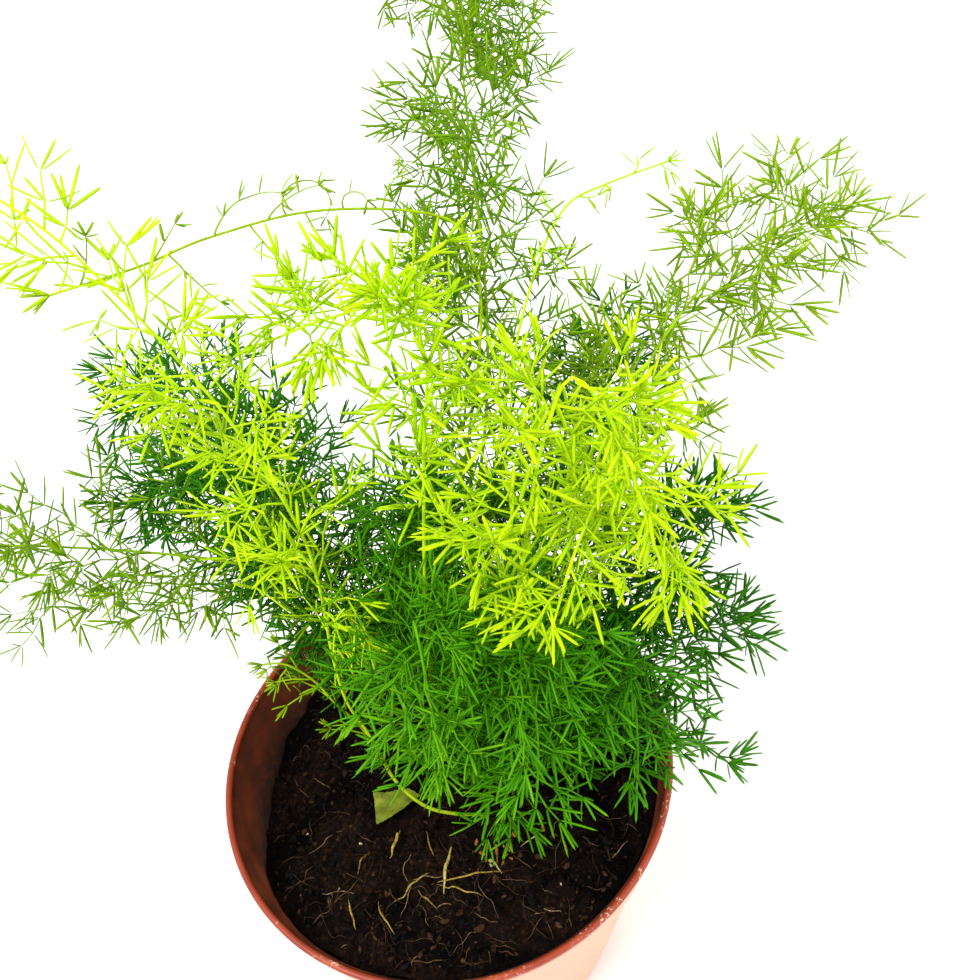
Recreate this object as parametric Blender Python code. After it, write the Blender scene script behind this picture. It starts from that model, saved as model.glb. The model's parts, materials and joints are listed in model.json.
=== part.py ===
"""An asparagus fern in a plastic pot: the pot, the soil, a fallen leaf and each leafy stem.

Metres, +Z up. The origin is the middle of the pot's flat base.
"""
import math
import random

import bmesh
import bpy
import numpy as np
from mathutils import Vector

MM = 0.001

# Pot: a 15 cm thin-walled plastic pot
POT_HEIGHT = 125 * MM
RIM_RADIUS = 75 * MM
BASE_RADIUS = 52 * MM
WALL = 1.8 * MM
FLOOR = 2.5 * MM
BAND_DEPTH = 20 * MM
BAND_STEP = 1.2 * MM
LIP_WIDTH = 2.2 * MM
LIP_DEPTH = 3.0 * MM
LIP_TURNS = (0, 45, 90, 135, 180)
LIP_RELIEF = 0.4 * MM
LIP_EDGE = 0.6 * MM
LIP_STEP = 0.8 * MM
FOOT_CHAMFER = 2 * MM
FLOOR_FILLET = 3 * MM
SHARP_ANGLE = math.radians(35)
TERRACOTTA = (0.52, 0.10, 0.04)
POT_SIDES = 36
DRAIN_COUNT = 8
DRAIN_RADIUS = 3.5 * MM
DRAIN_CIRCLE = 38 * MM
DRAIN_SIDES = 10
DRAIN_MARGIN = 2 * MM

# Soil: its top lies lower at the back and in one hollow at the left
GAP = 0.3 * MM
SOIL_DEPTH = 14 * MM
SOIL_SLOPE = 0.107
HOLLOW_AT = (-58 * MM, 6 * MM)
HOLLOW_WIDTH = 22 * MM
HOLLOW_DEPTH = 14 * MM
WAVE_HEIGHT = 0.9 * MM
WAVE_LENGTH = 42 * MM
WAVE_SHIFT = 0.6
EDGE_ROUNDS = 6
SOIL_RINGS = 7
SOIL_SIDES = 32
ROOT_DEPTH = 12 * MM
HOLE_RADIUS = 1.5 * MM
HOLE_SIDES = 6
HOLE_MARGIN = 5 * MM
PEAT_BROWN = (0.03, 0.018, 0.012)

# Fallen scrap of leaf on the soil
SCRAP_AT = (-19 * MM, -7 * MM)
SCRAP_THICKNESS = 0.7 * MM
SCRAP_LIFT = 0.55 * MM
SCRAP_GREEN = (0.35, 0.42, 0.04)
SCRAP_OUTLINE = [(-9, 7), (-5, 5.5), (-1, 6), (4, 5), (8, 1.5), (3, -2), (-3, -5), (-8, -6.5), (-8.5, 0)]

# Stems, side branches and needles
STEM_SIDES = 4
STEM_RADIUS = 0.95 * MM
STEM_TIP_RADIUS = 0.5 * MM
STEM_STEP = 13 * MM
BRANCH_SIDES = 3
BRANCH_RADIUS = 0.6 * MM
BRANCH_TIP_RADIUS = 0.5 * MM
NEEDLE_ROOT = 1.2 * MM
NEEDLE_RADIUS = 0.4 * MM
NEEDLE_TRIES = 4
NEEDLE_LEAN = (38, 62)
NEEDLE_SPREAD = (0.75, 1.05)
NEEDLE_START = 0.8 * MM
TIP_SPREAD = (0.8, 1.0)
TIP_CUTS = (1, 0.75, 0.5, 0.25)
BRANCH_ROOT_SHARE = 0.62
BUD_LENGTH = 5 * MM
OLD_GREEN = (0.02, 0.14, 0.01)
YOUNG_GREEN = (0.42, 0.62, 0.01)
PATH_PARTS = 12
SIDE_GUIDE = (0.12, -0.31, 0.94)
GOLDEN_TURN = math.radians(137.5)
CLEARANCE = 0.35 * MM
WHORL_STEP = 14 * MM
MOST_WHORLS = 2
ROOM_SIZE = 20000
TRIES = 14
TURN_RETRY = 0.6
TURN_SPREAD = 0.35
BRANCH_LEAN = (52, 68)
BRANCH_SPREAD = (0.85, 1.12)
FOOT_SHARE = 0.55
FOOT_RISE = 2.2
TIP_SHARE = 0.32
TIP_RISE = 1.9
SWAY = 0.1
FORWARD = 0.09
DROOP = 0.05
CLEAR_START = 0.12

# Room that branches and needles leave round the ground, the rim, the wall and the soil
GROUND_ROOM = 3 * MM
ABOVE_RIM = 1.2 * MM
ROUND_RIM = 1.5 * MM
WALL_ROOM = 3.5 * MM
SOIL_ROOM = 1.6 * MM
STEM_COLLAR = 1.5 * MM

# Each stem runs through these points, in mm from the middle of the pot's rim.
# bare: the leafless share at its foot. spacing, reach, needle: its side branches and needles, in mm.
# tip: how much of the reach is left at its tip. tint: 0 is old dark green, 1 is young yellow-green.
STEMS = {
    "stem_tall_back": dict(
        points=[(6, 14), (10, 18, 20), (20, 40, 60), (31, 66, 90), (37, 99, 112),
                (40, 150, 133), (43, 205, 150), (44, 245, 160)],
        bare=0.22, spacing=13, reach=37, tip=0.8, needle=13, tint=0.45),
    "stem_arching_left": dict(
        points=[(-3, 21), (6, 34, 30), (22, 60, 76), (34, 84, 113), (33, 100, 133), (20, 103, 142),
                (-10, 95, 153), (-36, 76, 162), (-50, 54, 171), (-66, 33, 181)],
        bare=0.42, spacing=18, reach=26, needle=9, tint=0.7),
    "stem_near_left": dict(
        points=[(10, -18), (1, -18, -7), (-9, -14, -6), (-18, -5, -2), (-24, 6, 12), (-28, 10, 27),
                (-28, 14, 48), (-25, 16, 80), (-25, 16, 108), (-32, 19, 143), (-42, 24, 168),
                (-52, 30, 185), (-62, 37, 196), (-76, 45, 206)],
        bare=0.36, spacing=12.5, reach=24, tip=0.4, needle=12, tint=0.95),
    "stem_low_left": dict(
        points=[(-22, 8), (-27, 12, 6), (-33, 14, 20), (-38, 18, 29), (-46, 22, 35), (-54, 24, 34)],
        bare=0.3, spacing=9, reach=17, needle=7, tint=0.7),
    "stem_left_low": dict(
        points=[(-14, 14), (-15, 17, 18), (-20, 25, 42), (-33, 36, 55), (-55, 46, 60), (-92, 59, 60),
                (-138, 71, 60), (-163, 77, 58)],
        bare=0.32, spacing=11, reach=42, tip=1.0, needle=13, tint=0.5),
    "stem_left_dark": dict(
        points=[(-10, 28), (-13, 34, 25), (-22, 45, 52), (-38, 60, 72), (-56, 82, 79), (-76, 106, 79),
                (-93, 120, 75)],
        bare=0.2, spacing=11.5, reach=36, tip=0.5, needle=12, tint=0.12),
    "stem_left_deep": dict(
        points=[(-21, 23), (-26, 31, 20), (-36, 48, 45), (-52, 68, 57), (-71, 84, 59), (-90, 97, 53)],
        bare=0.2, spacing=10.5, reach=29, tip=0.6, needle=12, tint=0.12),
    "stem_centre_deep": dict(
        points=[(3, 25), (6, 27, 20), (6, 31, 50), (3, 38, 76), (1, 50, 91)],
        bare=0.25, spacing=9.5, reach=31, tip=0.4, needle=12, tint=0.38),
    "stem_right_high": dict(
        points=[(17, 16), (24, 20, 22), (44, 30, 57), (62, 42, 82), (81, 62, 102), (98, 79, 110),
                (117, 96, 113), (137, 110, 111), (149, 118, 110)],
        bare=0.42, spacing=11, reach=36, tip=0.75, needle=14, tint=0.6),
    "stem_pale_shoot": dict(
        points=[(12, 27), (18, 36, 30), (30, 50, 76), (41, 68, 107), (54, 92, 125), (66, 110, 131),
                (80, 120, 130), (104, 134, 126)],
        bare=0.6, spacing=12, reach=11, needle=8, tint=0.8),
    "stem_centre_bright": dict(
        points=[(13, 1), (19, -1, 30), (30, -4, 79), (38, -6, 127), (44, -4, 150), (51, 0, 160),
                (59, -6, 149), (68, -14, 127), (75, -20, 103)],
        bare=0.36, spacing=11.5, reach=25, tip=0.5, needle=12, tint=0.95),
    "stem_right_bright": dict(
        points=[(20, 4), (28, 8, 28), (43, 10, 70), (53, 7, 108), (58, 2, 126), (55, -8, 130),
                (46, -18, 118), (39, -24, 100)],
        bare=0.4, spacing=11.5, reach=24, tip=0.5, needle=12, tint=0.9),
    "stem_loop_bright": dict(
        points=[(-4, 5), (0, 7, 32), (6, 11, 82), (13, 15, 128), (18, 20, 156), (12, 25, 168),
                (-4, 30, 164), (-20, 38, 154)],
        bare=0.56, spacing=8.5, reach=24, tip=0.6, needle=12, tint=0.85),
    "stem_right_dark": dict(
        points=[(25, 10), (33, 11, 18), (48, 13, 38), (65, 19, 51), (83, 29, 57), (96, 40, 58)],
        bare=0.2, spacing=9.5, reach=25, tip=0.5, needle=12, tint=0.05),
    "stem_right_low": dict(
        points=[(27, -1), (35, -1, 13), (48, -2, 29), (66, 2, 34), (83, 9, 35), (99, 17, 32)],
        bare=0.2, spacing=11, reach=25, tip=0.5, needle=12, tint=0.1),
    "stem_back_dark": dict(
        points=[(21, 27), (27, 32, 22), (40, 44, 46), (57, 62, 63), (74, 90, 73), (88, 114, 76)],
        bare=0.2, spacing=11, reach=32, needle=12, tint=0.08),
    "stem_over_rim": dict(
        points=[(34, -10), (40, -11, 8), (51, -13, 17), (67, -14, 17), (82, -16, 10), (90, -20, 3)],
        bare=0.28, spacing=9, reach=15, needle=11, tint=0.15),
    "stem_front_left": dict(
        points=[(-5, -5), (-3, -5, 28), (0, -3, 64), (2, -5, 84), (3, -14, 82), (3, -24, 64),
                (3, -31, 46)],
        bare=0.2, spacing=11, reach=29, needle=12, tint=0.45),
    "stem_front_mid": dict(
        points=[(7, -9), (10, -9, 24), (18, -7, 62), (25, -8, 80), (30, -16, 76), (31, -26, 56),
                (29, -33, 38), (27, -36, 25)],
        bare=0.2, spacing=11, reach=29, needle=12, tint=0.35),
    "stem_front_low": dict(
        points=[(15, -13), (17, -17, 6), (19, -24, 15), (18, -29, 18), (16, -33, 13)],
        bare=0.25, spacing=9, reach=17, tip=0.6, needle=10, tint=0.35),
    "stem_front_right": dict(
        points=[(20, -12), (28, -9, 20), (44, -6, 46), (55, -6, 58), (60, -14, 54), (60, -24, 36),
                (58, -32, 17)],
        bare=0.22, spacing=9.5, reach=23, needle=12, tint=0.25),
}


def clear_scene():
    for item in list(bpy.data.objects):
        bpy.data.objects.remove(item, do_unlink=True)


def plastic_or_leaf(name, colour, roughness):
    material = bpy.data.materials.new(name)
    material.use_nodes = True
    shader = material.node_tree.nodes["Principled BSDF"]
    shader.inputs["Base Color"].default_value = (*colour, 1)
    shader.inputs["Roughness"].default_value = roughness
    shader.inputs["Metallic"].default_value = 0
    return material


def make_object(name, bm, material=None, smooth=False):
    bmesh.ops.recalc_face_normals(bm, faces=bm.faces)
    mesh = bpy.data.meshes.new(name)
    bm.to_mesh(mesh)
    bm.free()
    if smooth:
        mesh.shade_smooth()
        mesh.set_sharp_from_angle(angle=SHARP_ANGLE)
    item = bpy.data.objects.new(name, mesh)
    bpy.context.collection.objects.link(item)
    if material:
        mesh.materials.append(material)
    return item


# Pot
def taper():
    return (RIM_RADIUS - BAND_STEP - BASE_RADIUS) / POT_HEIGHT


def outer_radius(z):
    return BASE_RADIUS + taper() * z


def inner_radius(z):
    return outer_radius(z) - WALL


def pot_profile():
    band_foot = POT_HEIGHT - BAND_DEPTH
    lip_foot = POT_HEIGHT - LIP_DEPTH
    half_lip = LIP_WIDTH / 2
    outline = [(0, 0), (BASE_RADIUS - FOOT_CHAMFER, 0), (BASE_RADIUS, FOOT_CHAMFER)]
    outline += [(outer_radius(band_foot), band_foot)]
    outline += [(outer_radius(band_foot) + BAND_STEP, band_foot + BAND_STEP)]
    outline += [(RIM_RADIUS - LIP_RELIEF, lip_foot), (RIM_RADIUS, lip_foot + LIP_EDGE)]
    for turn in LIP_TURNS:
        angle = math.radians(turn)
        radius = RIM_RADIUS - half_lip + half_lip * math.cos(angle)
        outline.append((radius, POT_HEIGHT - half_lip + half_lip * math.sin(angle)))
    outline += [(RIM_RADIUS - LIP_WIDTH, lip_foot), (inner_radius(lip_foot), lip_foot - LIP_STEP)]
    outline += [(inner_radius(FLOOR + FLOOR_FILLET), FLOOR + FLOOR_FILLET)]
    outline += [(inner_radius(FLOOR) - FLOOR_FILLET, FLOOR), (0, FLOOR)]
    return outline


def revolve(name, outline, sides, material=None):
    bm = bmesh.new()
    rings = []
    for radius, z in outline:
        if radius == 0:
            rings.append([bm.verts.new((0, 0, z))])
            continue
        turns = [2 * math.pi * step / sides for step in range(sides)]
        rings.append([bm.verts.new((radius * math.cos(a), radius * math.sin(a), z)) for a in turns])
    for lower, upper in zip(rings, rings[1:]):
        for step in range(sides):
            after = (step + 1) % sides
            corners = [lower[step % len(lower)], lower[after % len(lower)]]
            corners += [upper[after % len(upper)], upper[step % len(upper)]]
            bm.faces.new(list(dict.fromkeys(corners)))
    return make_object(name, bm, material, smooth=True)


def upright_pegs(name, spots, radius, bottom, top, sides):
    cutters = bpy.data.collections.new(name)
    bpy.context.scene.collection.children.link(cutters)
    for index, (x, y) in enumerate(spots):
        bm = bmesh.new()
        bmesh.ops.create_cone(bm, cap_ends=True, segments=sides, radius1=radius, radius2=radius,
                              depth=top - bottom)
        bmesh.ops.translate(bm, verts=bm.verts, vec=(x, y, (top + bottom) / 2))
        peg = make_object(f"{name}_{index}", bm)
        bpy.context.collection.objects.unlink(peg)
        cutters.objects.link(peg)
    return cutters


def apply_collection_boolean(item, collection, operation):
    modifier = item.modifiers.new("repeats", "BOOLEAN")
    modifier.operation = operation
    modifier.operand_type = "COLLECTION"
    modifier.collection = collection
    modifier.solver = "EXACT"
    evaluated = item.evaluated_get(bpy.context.evaluated_depsgraph_get())
    mesh = bpy.data.meshes.new_from_object(evaluated)
    item.modifiers.remove(modifier)
    item.data = mesh
    for operand in list(collection.objects):
        bpy.data.objects.remove(operand, do_unlink=True)
    bpy.data.collections.remove(collection)


def make_pot():
    plastic = plastic_or_leaf("moulded_plastic", TERRACOTTA, 0.45)
    pot = revolve("pot", pot_profile(), POT_SIDES, plastic)
    turns = [2 * math.pi * (step + 0.5) / DRAIN_COUNT for step in range(DRAIN_COUNT)]
    spots = [(DRAIN_CIRCLE * math.cos(a), DRAIN_CIRCLE * math.sin(a)) for a in turns]
    drains = upright_pegs("drain", spots, DRAIN_RADIUS, -DRAIN_MARGIN, FLOOR + DRAIN_MARGIN, DRAIN_SIDES)
    apply_collection_boolean(pot, drains, "DIFFERENCE")
    return pot


# Soil
def soil_top(x, y):
    across = (x - HOLLOW_AT[0]) ** 2 + (y - HOLLOW_AT[1]) ** 2
    hollow = HOLLOW_DEPTH * math.exp(-across / (2 * HOLLOW_WIDTH ** 2))
    turn = 2 * math.pi / WAVE_LENGTH
    wave = WAVE_HEIGHT * math.sin(turn * x + WAVE_SHIFT) * math.cos(turn * y)
    return POT_HEIGHT - SOIL_DEPTH - SOIL_SLOPE * y - hollow + wave


def soil_edge(angle):
    """The soil's radius at an angle, just inside the flats of the pot's wall."""
    radius = BASE_RADIUS
    for _ in range(EDGE_ROUNDS):
        z = soil_top(radius * math.cos(angle), radius * math.sin(angle))
        radius = inner_radius(z) * math.cos(math.pi / POT_SIDES) - GAP
    return radius


def make_soil():
    bm = bmesh.new()
    angles = [2 * math.pi * step / SOIL_SIDES for step in range(SOIL_SIDES)]
    bottom_z = FLOOR + FLOOR_FILLET
    bottom_radius = inner_radius(bottom_z) * math.cos(math.pi / POT_SIDES) - 2 * GAP
    rings = [[bm.verts.new((0, 0, bottom_z))]]
    rings.append([bm.verts.new((bottom_radius * math.cos(a), bottom_radius * math.sin(a), bottom_z))
                  for a in angles])
    for ring in range(SOIL_RINGS, 0, -1):
        verts = []
        for a in angles:
            radius = soil_edge(a) * ring / SOIL_RINGS
            x, y = radius * math.cos(a), radius * math.sin(a)
            verts.append(bm.verts.new((x, y, soil_top(x, y))))
        rings.append(verts)
    rings.append([bm.verts.new((0, 0, soil_top(0, 0)))])
    for lower, upper in zip(rings, rings[1:]):
        for step in range(SOIL_SIDES):
            after = (step + 1) % SOIL_SIDES
            corners = [lower[step % len(lower)], lower[after % len(lower)]]
            corners += [upper[after % len(upper)], upper[step % len(upper)]]
            bm.faces.new(list(dict.fromkeys(corners)))
    bmesh.ops.triangulate(bm, faces=bm.faces)
    soil = make_object("soil", bm, plastic_or_leaf("potting_mix", PEAT_BROWN, 0.95), True)
    for stem in STEMS.values():
        x, y = (value * MM for value in stem["points"][0])
        foot = root_foot(x, y) - GAP
        hole = upright_pegs("hole", [(x, y)], HOLE_RADIUS, foot, POT_HEIGHT + HOLE_MARGIN, HOLE_SIDES)
        apply_collection_boolean(soil, hole, "DIFFERENCE")
    return soil


def root_foot(x, y):
    return soil_top(x, y) - ROOT_DEPTH


# Fallen leaf
def make_scrap():
    bm = bmesh.new()
    outline = [(SCRAP_AT[0] + x * MM, SCRAP_AT[1] + y * MM) for x, y in SCRAP_OUTLINE]
    layers = []
    for level in (0, 1):
        verts = []
        for x, y in [SCRAP_AT] + outline:
            z = soil_top(x, y) + SCRAP_LIFT + level * SCRAP_THICKNESS
            verts.append(bm.verts.new((x, y, z)))
        layers.append(verts)
    low, high = layers
    count = len(outline)
    for step in range(count):
        here, after = 1 + step, 1 + (step + 1) % count
        bm.faces.new((high[0], high[here], high[after]))
        bm.faces.new((low[0], low[after], low[here]))
        bm.faces.new((low[here], low[after], high[after]))
        bm.faces.new((low[here], high[after], high[here]))
    return make_object("leaf_scrap", bm, plastic_or_leaf("dry_leaf", SCRAP_GREEN, 0.6))


# Stems: where they run
def stem_points(stem):
    x, y = (value * MM for value in stem["points"][0])
    points = [Vector((x, y, root_foot(x, y))), Vector((x, y, soil_top(x, y) + STEM_COLLAR))]
    for px, py, pz in stem["points"][1:]:
        points.append(Vector((px * MM, py * MM, POT_HEIGHT + pz * MM)))
    return points


def smooth_path(points, step):
    dense = []
    for index in range(len(points) - 1):
        before = points[max(index - 1, 0)]
        start, end = points[index], points[index + 1]
        after = points[min(index + 2, len(points) - 1)]
        for part in range(PATH_PARTS):
            t = part / PATH_PARTS
            pull = (2 * start + (end - before) * t + (2 * before - 5 * start + 4 * end - after) * t ** 2
                    + (3 * start - before - 3 * end + after) * t ** 3)
            dense.append(pull / 2)
    dense.append(points[-1])
    lengths = [0.0]
    for a, b in zip(dense, dense[1:]):
        lengths.append(lengths[-1] + (b - a).length)
    count = max(2, round(lengths[-1] / step))
    targets = [lengths[-1] * index / count for index in range(count + 1)]
    return [point_along(dense, lengths, target) for target in targets], lengths[-1]


def point_along(dense, lengths, target):
    for index in range(1, len(lengths)):
        if lengths[index] >= target or index == len(lengths) - 1:
            span = lengths[index] - lengths[index - 1]
            share = (target - lengths[index - 1]) / span if span else 0
            return dense[index - 1].lerp(dense[index], min(max(share, 0), 1))


def across_frame(direction):
    side = direction.cross(Vector(SIDE_GUIDE))
    if side.length < 0.05:
        side = direction.cross(Vector((1, 0, 0)))
    side.normalize()
    return side, direction.cross(side).normalized()


def leaning(direction, turn, lean):
    side, up = across_frame(direction)
    outward = side * math.cos(turn) + up * math.sin(turn)
    return (direction * math.cos(lean) + outward * math.sin(lean)).normalized()


def stem_radius(share):
    return STEM_RADIUS + (STEM_TIP_RADIUS - STEM_RADIUS) * share


# Room: every stem, branch and needle keeps clear of the others
class Room:
    def __init__(self):
        self.count = 0
        self.starts = np.zeros((ROOM_SIZE, 3))
        self.ends = np.zeros((ROOM_SIZE, 3))
        self.radii = np.zeros(ROOM_SIZE)
        self.stems = np.zeros(ROOM_SIZE, int)
        self.branches = np.zeros(ROOM_SIZE, int)

    def add(self, start, end, radius, owner):
        self.starts[self.count] = start
        self.ends[self.count] = end
        self.radii[self.count] = radius
        self.stems[self.count], self.branches[self.count] = owner
        self.count += 1

    def free(self, start, end, radius, owner):
        stems, branches = self.stems[:self.count], self.branches[:self.count]
        others = (stems != owner[0]) | ((branches != owner[1]) & (branches >= 0))
        if not others.any():
            return True
        gaps = segment_gaps(np.array(start), np.array(end), self.starts[:self.count][others],
                            self.ends[:self.count][others])
        return bool((gaps > self.radii[:self.count][others] + radius + CLEARANCE).all())


def segment_gaps(start, end, starts, ends):
    along = end - start
    others = ends - starts
    between = start - starts
    a = max(float(along @ along), 1e-12)
    e = np.maximum(np.einsum("ij,ij->i", others, others), 1e-12)
    b = others @ along
    c = between @ along
    f = np.einsum("ij,ij->i", others, between)
    spread = np.maximum(a * e - b * b, 1e-15)
    s = np.clip((b * f - c * e) / spread, 0, 1)
    t = np.clip((b * s + f) / e, 0, 1)
    s = np.clip((b * t - c) / a, 0, 1)
    apart = (start + np.outer(s, along)) - (starts + others * t[:, None])
    return np.sqrt(np.einsum("ij,ij->i", apart, apart))


def off_the_pot(start, end):
    for part in range(1, 5):
        point = start.lerp(end, part / 4)
        reach = math.hypot(point.x, point.y)
        if point.z < GROUND_ROOM:
            return False
        if point.z < POT_HEIGHT + ABOVE_RIM:
            if inner_radius(point.z) - WALL_ROOM < reach < RIM_RADIUS + ROUND_RIM:
                return False
            if reach < RIM_RADIUS and point.z < soil_top(point.x, point.y) + SOIL_ROOM:
                return False
    return True


# Side branches: turned round the stem by the golden angle, with three needles to a whorl
def grow_branches(number, name, stem, room):
    rng = random.Random(name)
    path, length = smooth_path(stem_points(stem), STEM_STEP)
    first = stem["bare"] * length
    gap = stem["spacing"] * MM
    count = int((length - first) / gap)
    branches = []
    for index in range(count + 1):
        share = (first + index * gap) / length
        at = min(int(share * (len(path) - 1)), len(path) - 2)
        tangent = (path[at + 1] - path[at]).normalized()
        start = path[at].lerp(path[at + 1], share * (len(path) - 1) - at)
        reach = stem["reach"] * MM * fullness(stem, share) * rng.uniform(*BRANCH_SPREAD)
        turn = index * GOLDEN_TURN + rng.uniform(-TURN_SPREAD, TURN_SPREAD)
        lean = math.radians(rng.uniform(*BRANCH_LEAN))
        for attempt in range(TRIES):
            line = branch_line(start, tangent, turn + attempt * TURN_RETRY, lean, reach, rng)
            if branch_fits(line, (number, index), room):
                break
        else:
            continue
        for a, b in zip(line, line[1:]):
            room.add(a, b, BRANCH_RADIUS, (number, index))
        branches.append((index, line, share))
    return path, branches


def fullness(stem, share):
    """Branches are shorter near the stem's foot and near its tip."""
    foot = min(1, FOOT_SHARE + FOOT_RISE * (share - stem["bare"]))
    tip = min(1, stem.get("tip", TIP_SHARE) + TIP_RISE * (1 - share))
    return foot * tip


def branch_line(start, tangent, turn, lean, reach, rng):
    count = min(MOST_WHORLS, max(1, round(reach / WHORL_STEP)))
    direction = leaning(tangent, turn, lean)
    line = [start]
    for index in range(count):
        sway = Vector((rng.uniform(-1, 1), rng.uniform(-1, 1), rng.uniform(-1, 1))) * SWAY
        direction = (direction + tangent * FORWARD + Vector((0, 0, -DROOP)) + sway).normalized()
        line.append(line[-1] + direction * reach / count)
    return line


def branch_fits(line, owner, room):
    start = line[0].lerp(line[1], CLEAR_START)
    for a, b in zip([start] + line[1:], line[1:]):
        if not off_the_pot(a, b) or not room.free(a, b, BRANCH_RADIUS, owner):
            return False
    return True


# Meshes
def ring_at(bm, centre, direction, radius, sides, turn):
    side, up = across_frame(direction)
    ring = []
    for step in range(sides):
        angle = turn + 2 * math.pi * step / sides
        ring.append(bm.verts.new(centre + side * radius * math.cos(angle) + up * radius * math.sin(angle)))
    return ring


def direction_at(line, index):
    return (line[min(index + 1, len(line) - 1)] - line[max(index - 1, 0)]).normalized()


def join_rings(bm, lower, upper):
    sides = len(lower)
    return [bm.faces.new((lower[i], lower[(i + 1) % sides], upper[(i + 1) % sides], upper[i]))
            for i in range(sides)]


def make_stem_body(number, name, path, room, material):
    bm = bmesh.new()
    rings = []
    side = None
    for index, point in enumerate(path):
        direction = direction_at(path, index)
        if side is None:
            side = across_frame(direction)[0]
        side = (side - direction * side.dot(direction)).normalized()
        up = direction.cross(side)
        radius = stem_radius(index / (len(path) - 1))
        turns = [2 * math.pi * step / STEM_SIDES for step in range(STEM_SIDES)]
        rings.append([bm.verts.new(point + side * radius * math.cos(a) + up * radius * math.sin(a))
                      for a in turns])
    for lower, upper in zip(rings, rings[1:]):
        join_rings(bm, lower, upper)
    bm.faces.new(rings[0][::-1])
    end = bm.faces.new(rings[-1])
    add_tip(bm, end, path[-1], direction_at(path, len(path) - 1), BUD_LENGTH, (number, -1), room)
    bmesh.ops.triangulate(bm, faces=bm.faces)
    return make_object(name, bm, material)


def raise_needle(bm, face, tip):
    centre = bmesh.ops.poke(bm, faces=[face])["verts"][0]
    centre.co = tip


def make_branch(name, owner, line, stem, share, room, rng):
    bm = bmesh.new()
    needle = stem["needle"] * MM
    start_direction = direction_at(line, 0)
    root_radius = min(BRANCH_RADIUS, BRANCH_ROOT_SHARE * stem_radius(share))
    lower = ring_at(bm, line[0], start_direction, root_radius, BRANCH_SIDES, 0)
    bm.faces.new(lower[::-1])
    for whorl in range(1, len(line)):
        direction = direction_at(line, whorl)
        radius = BRANCH_RADIUS + (BRANCH_TIP_RADIUS - BRANCH_RADIUS) * whorl / len(line)
        turn = whorl * math.pi / 3
        foot = ring_at(bm, line[whorl] - direction * NEEDLE_ROOT, direction, radius, BRANCH_SIDES, turn)
        for i in range(BRANCH_SIDES):
            after = (i + 1) % BRANCH_SIDES
            bm.faces.new((lower[i], lower[after], foot[i]))
            bm.faces.new((lower[after], foot[after], foot[i]))
        head = ring_at(bm, line[whorl], direction, radius, BRANCH_SIDES, turn)
        axis = line[whorl] - direction * NEEDLE_ROOT / 2
        for face in join_rings(bm, foot, head):
            add_needle(bm, face, axis, direction, needle, owner, room, rng)
        lower = head
    end = bm.faces.new(lower)
    reach = needle * rng.uniform(*TIP_SPREAD)
    add_tip(bm, end, line[-1], direction_at(line, len(line) - 1), reach, owner, room)
    return make_object(name, bm)


def add_tip(bm, face, root, direction, reach, owner, room):
    for share in TIP_CUTS:
        tip = root + direction * reach * share
        if off_the_pot(root, tip) and room.free(root, tip, BRANCH_TIP_RADIUS, owner):
            room.add(root, tip, BRANCH_TIP_RADIUS, owner)
            raise_needle(bm, face, tip)
            return


def add_needle(bm, face, axis, direction, length, owner, room, rng):
    middle = face.calc_center_median()
    outward = (middle - axis).normalized()
    for _ in range(NEEDLE_TRIES):
        lean = math.radians(rng.uniform(*NEEDLE_LEAN))
        aim = (direction * math.cos(lean) + outward * math.sin(lean)).normalized()
        reach = length * rng.uniform(*NEEDLE_SPREAD)
        tip = middle + aim * reach
        root = middle + aim * NEEDLE_START
        if off_the_pot(root, tip) and room.free(root, tip, NEEDLE_RADIUS, owner):
            room.add(root, tip, NEEDLE_RADIUS, owner)
            raise_needle(bm, face, tip)
            return


def leaf_colour(tint):
    return tuple(Vector(OLD_GREEN).lerp(Vector(YOUNG_GREEN), tint))


def make_leafy_stem(number, name, stem, path, branches, room):
    rng = random.Random(name + "_needles")
    green = plastic_or_leaf(name + "_green", leaf_colour(stem["tint"]), 0.5)
    body = make_stem_body(number, name, path, room, green)
    sprays = bpy.data.collections.new(name + "_sprays")
    bpy.context.scene.collection.children.link(sprays)
    for index, line, share in branches:
        branch = make_branch(f"{name}_{index}", (number, index), line, stem, share, room, rng)
        bpy.context.collection.objects.unlink(branch)
        sprays.objects.link(branch)
    apply_collection_boolean(body, sprays, "UNION")
    return body


def make_foliage():
    room = Room()
    for number, stem in enumerate(STEMS.values()):
        path, _ = smooth_path(stem_points(stem), STEM_STEP)
        for a, b in zip(path, path[1:]):
            room.add(a, b, STEM_RADIUS, (number, -1))
    grown = [grow_branches(number, name, STEMS[name], room) for number, name in enumerate(STEMS)]
    for number, name in enumerate(STEMS):
        path, branches = grown[number]
        make_leafy_stem(number, name, STEMS[name], path, branches, room)


def build():
    clear_scene()
    make_pot()
    make_soil()
    make_scrap()
    make_foliage()


build()
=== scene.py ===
import json
import math
import random

import bmesh
import bpy
import numpy as np
from mathutils import Matrix, Vector, noise

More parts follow.
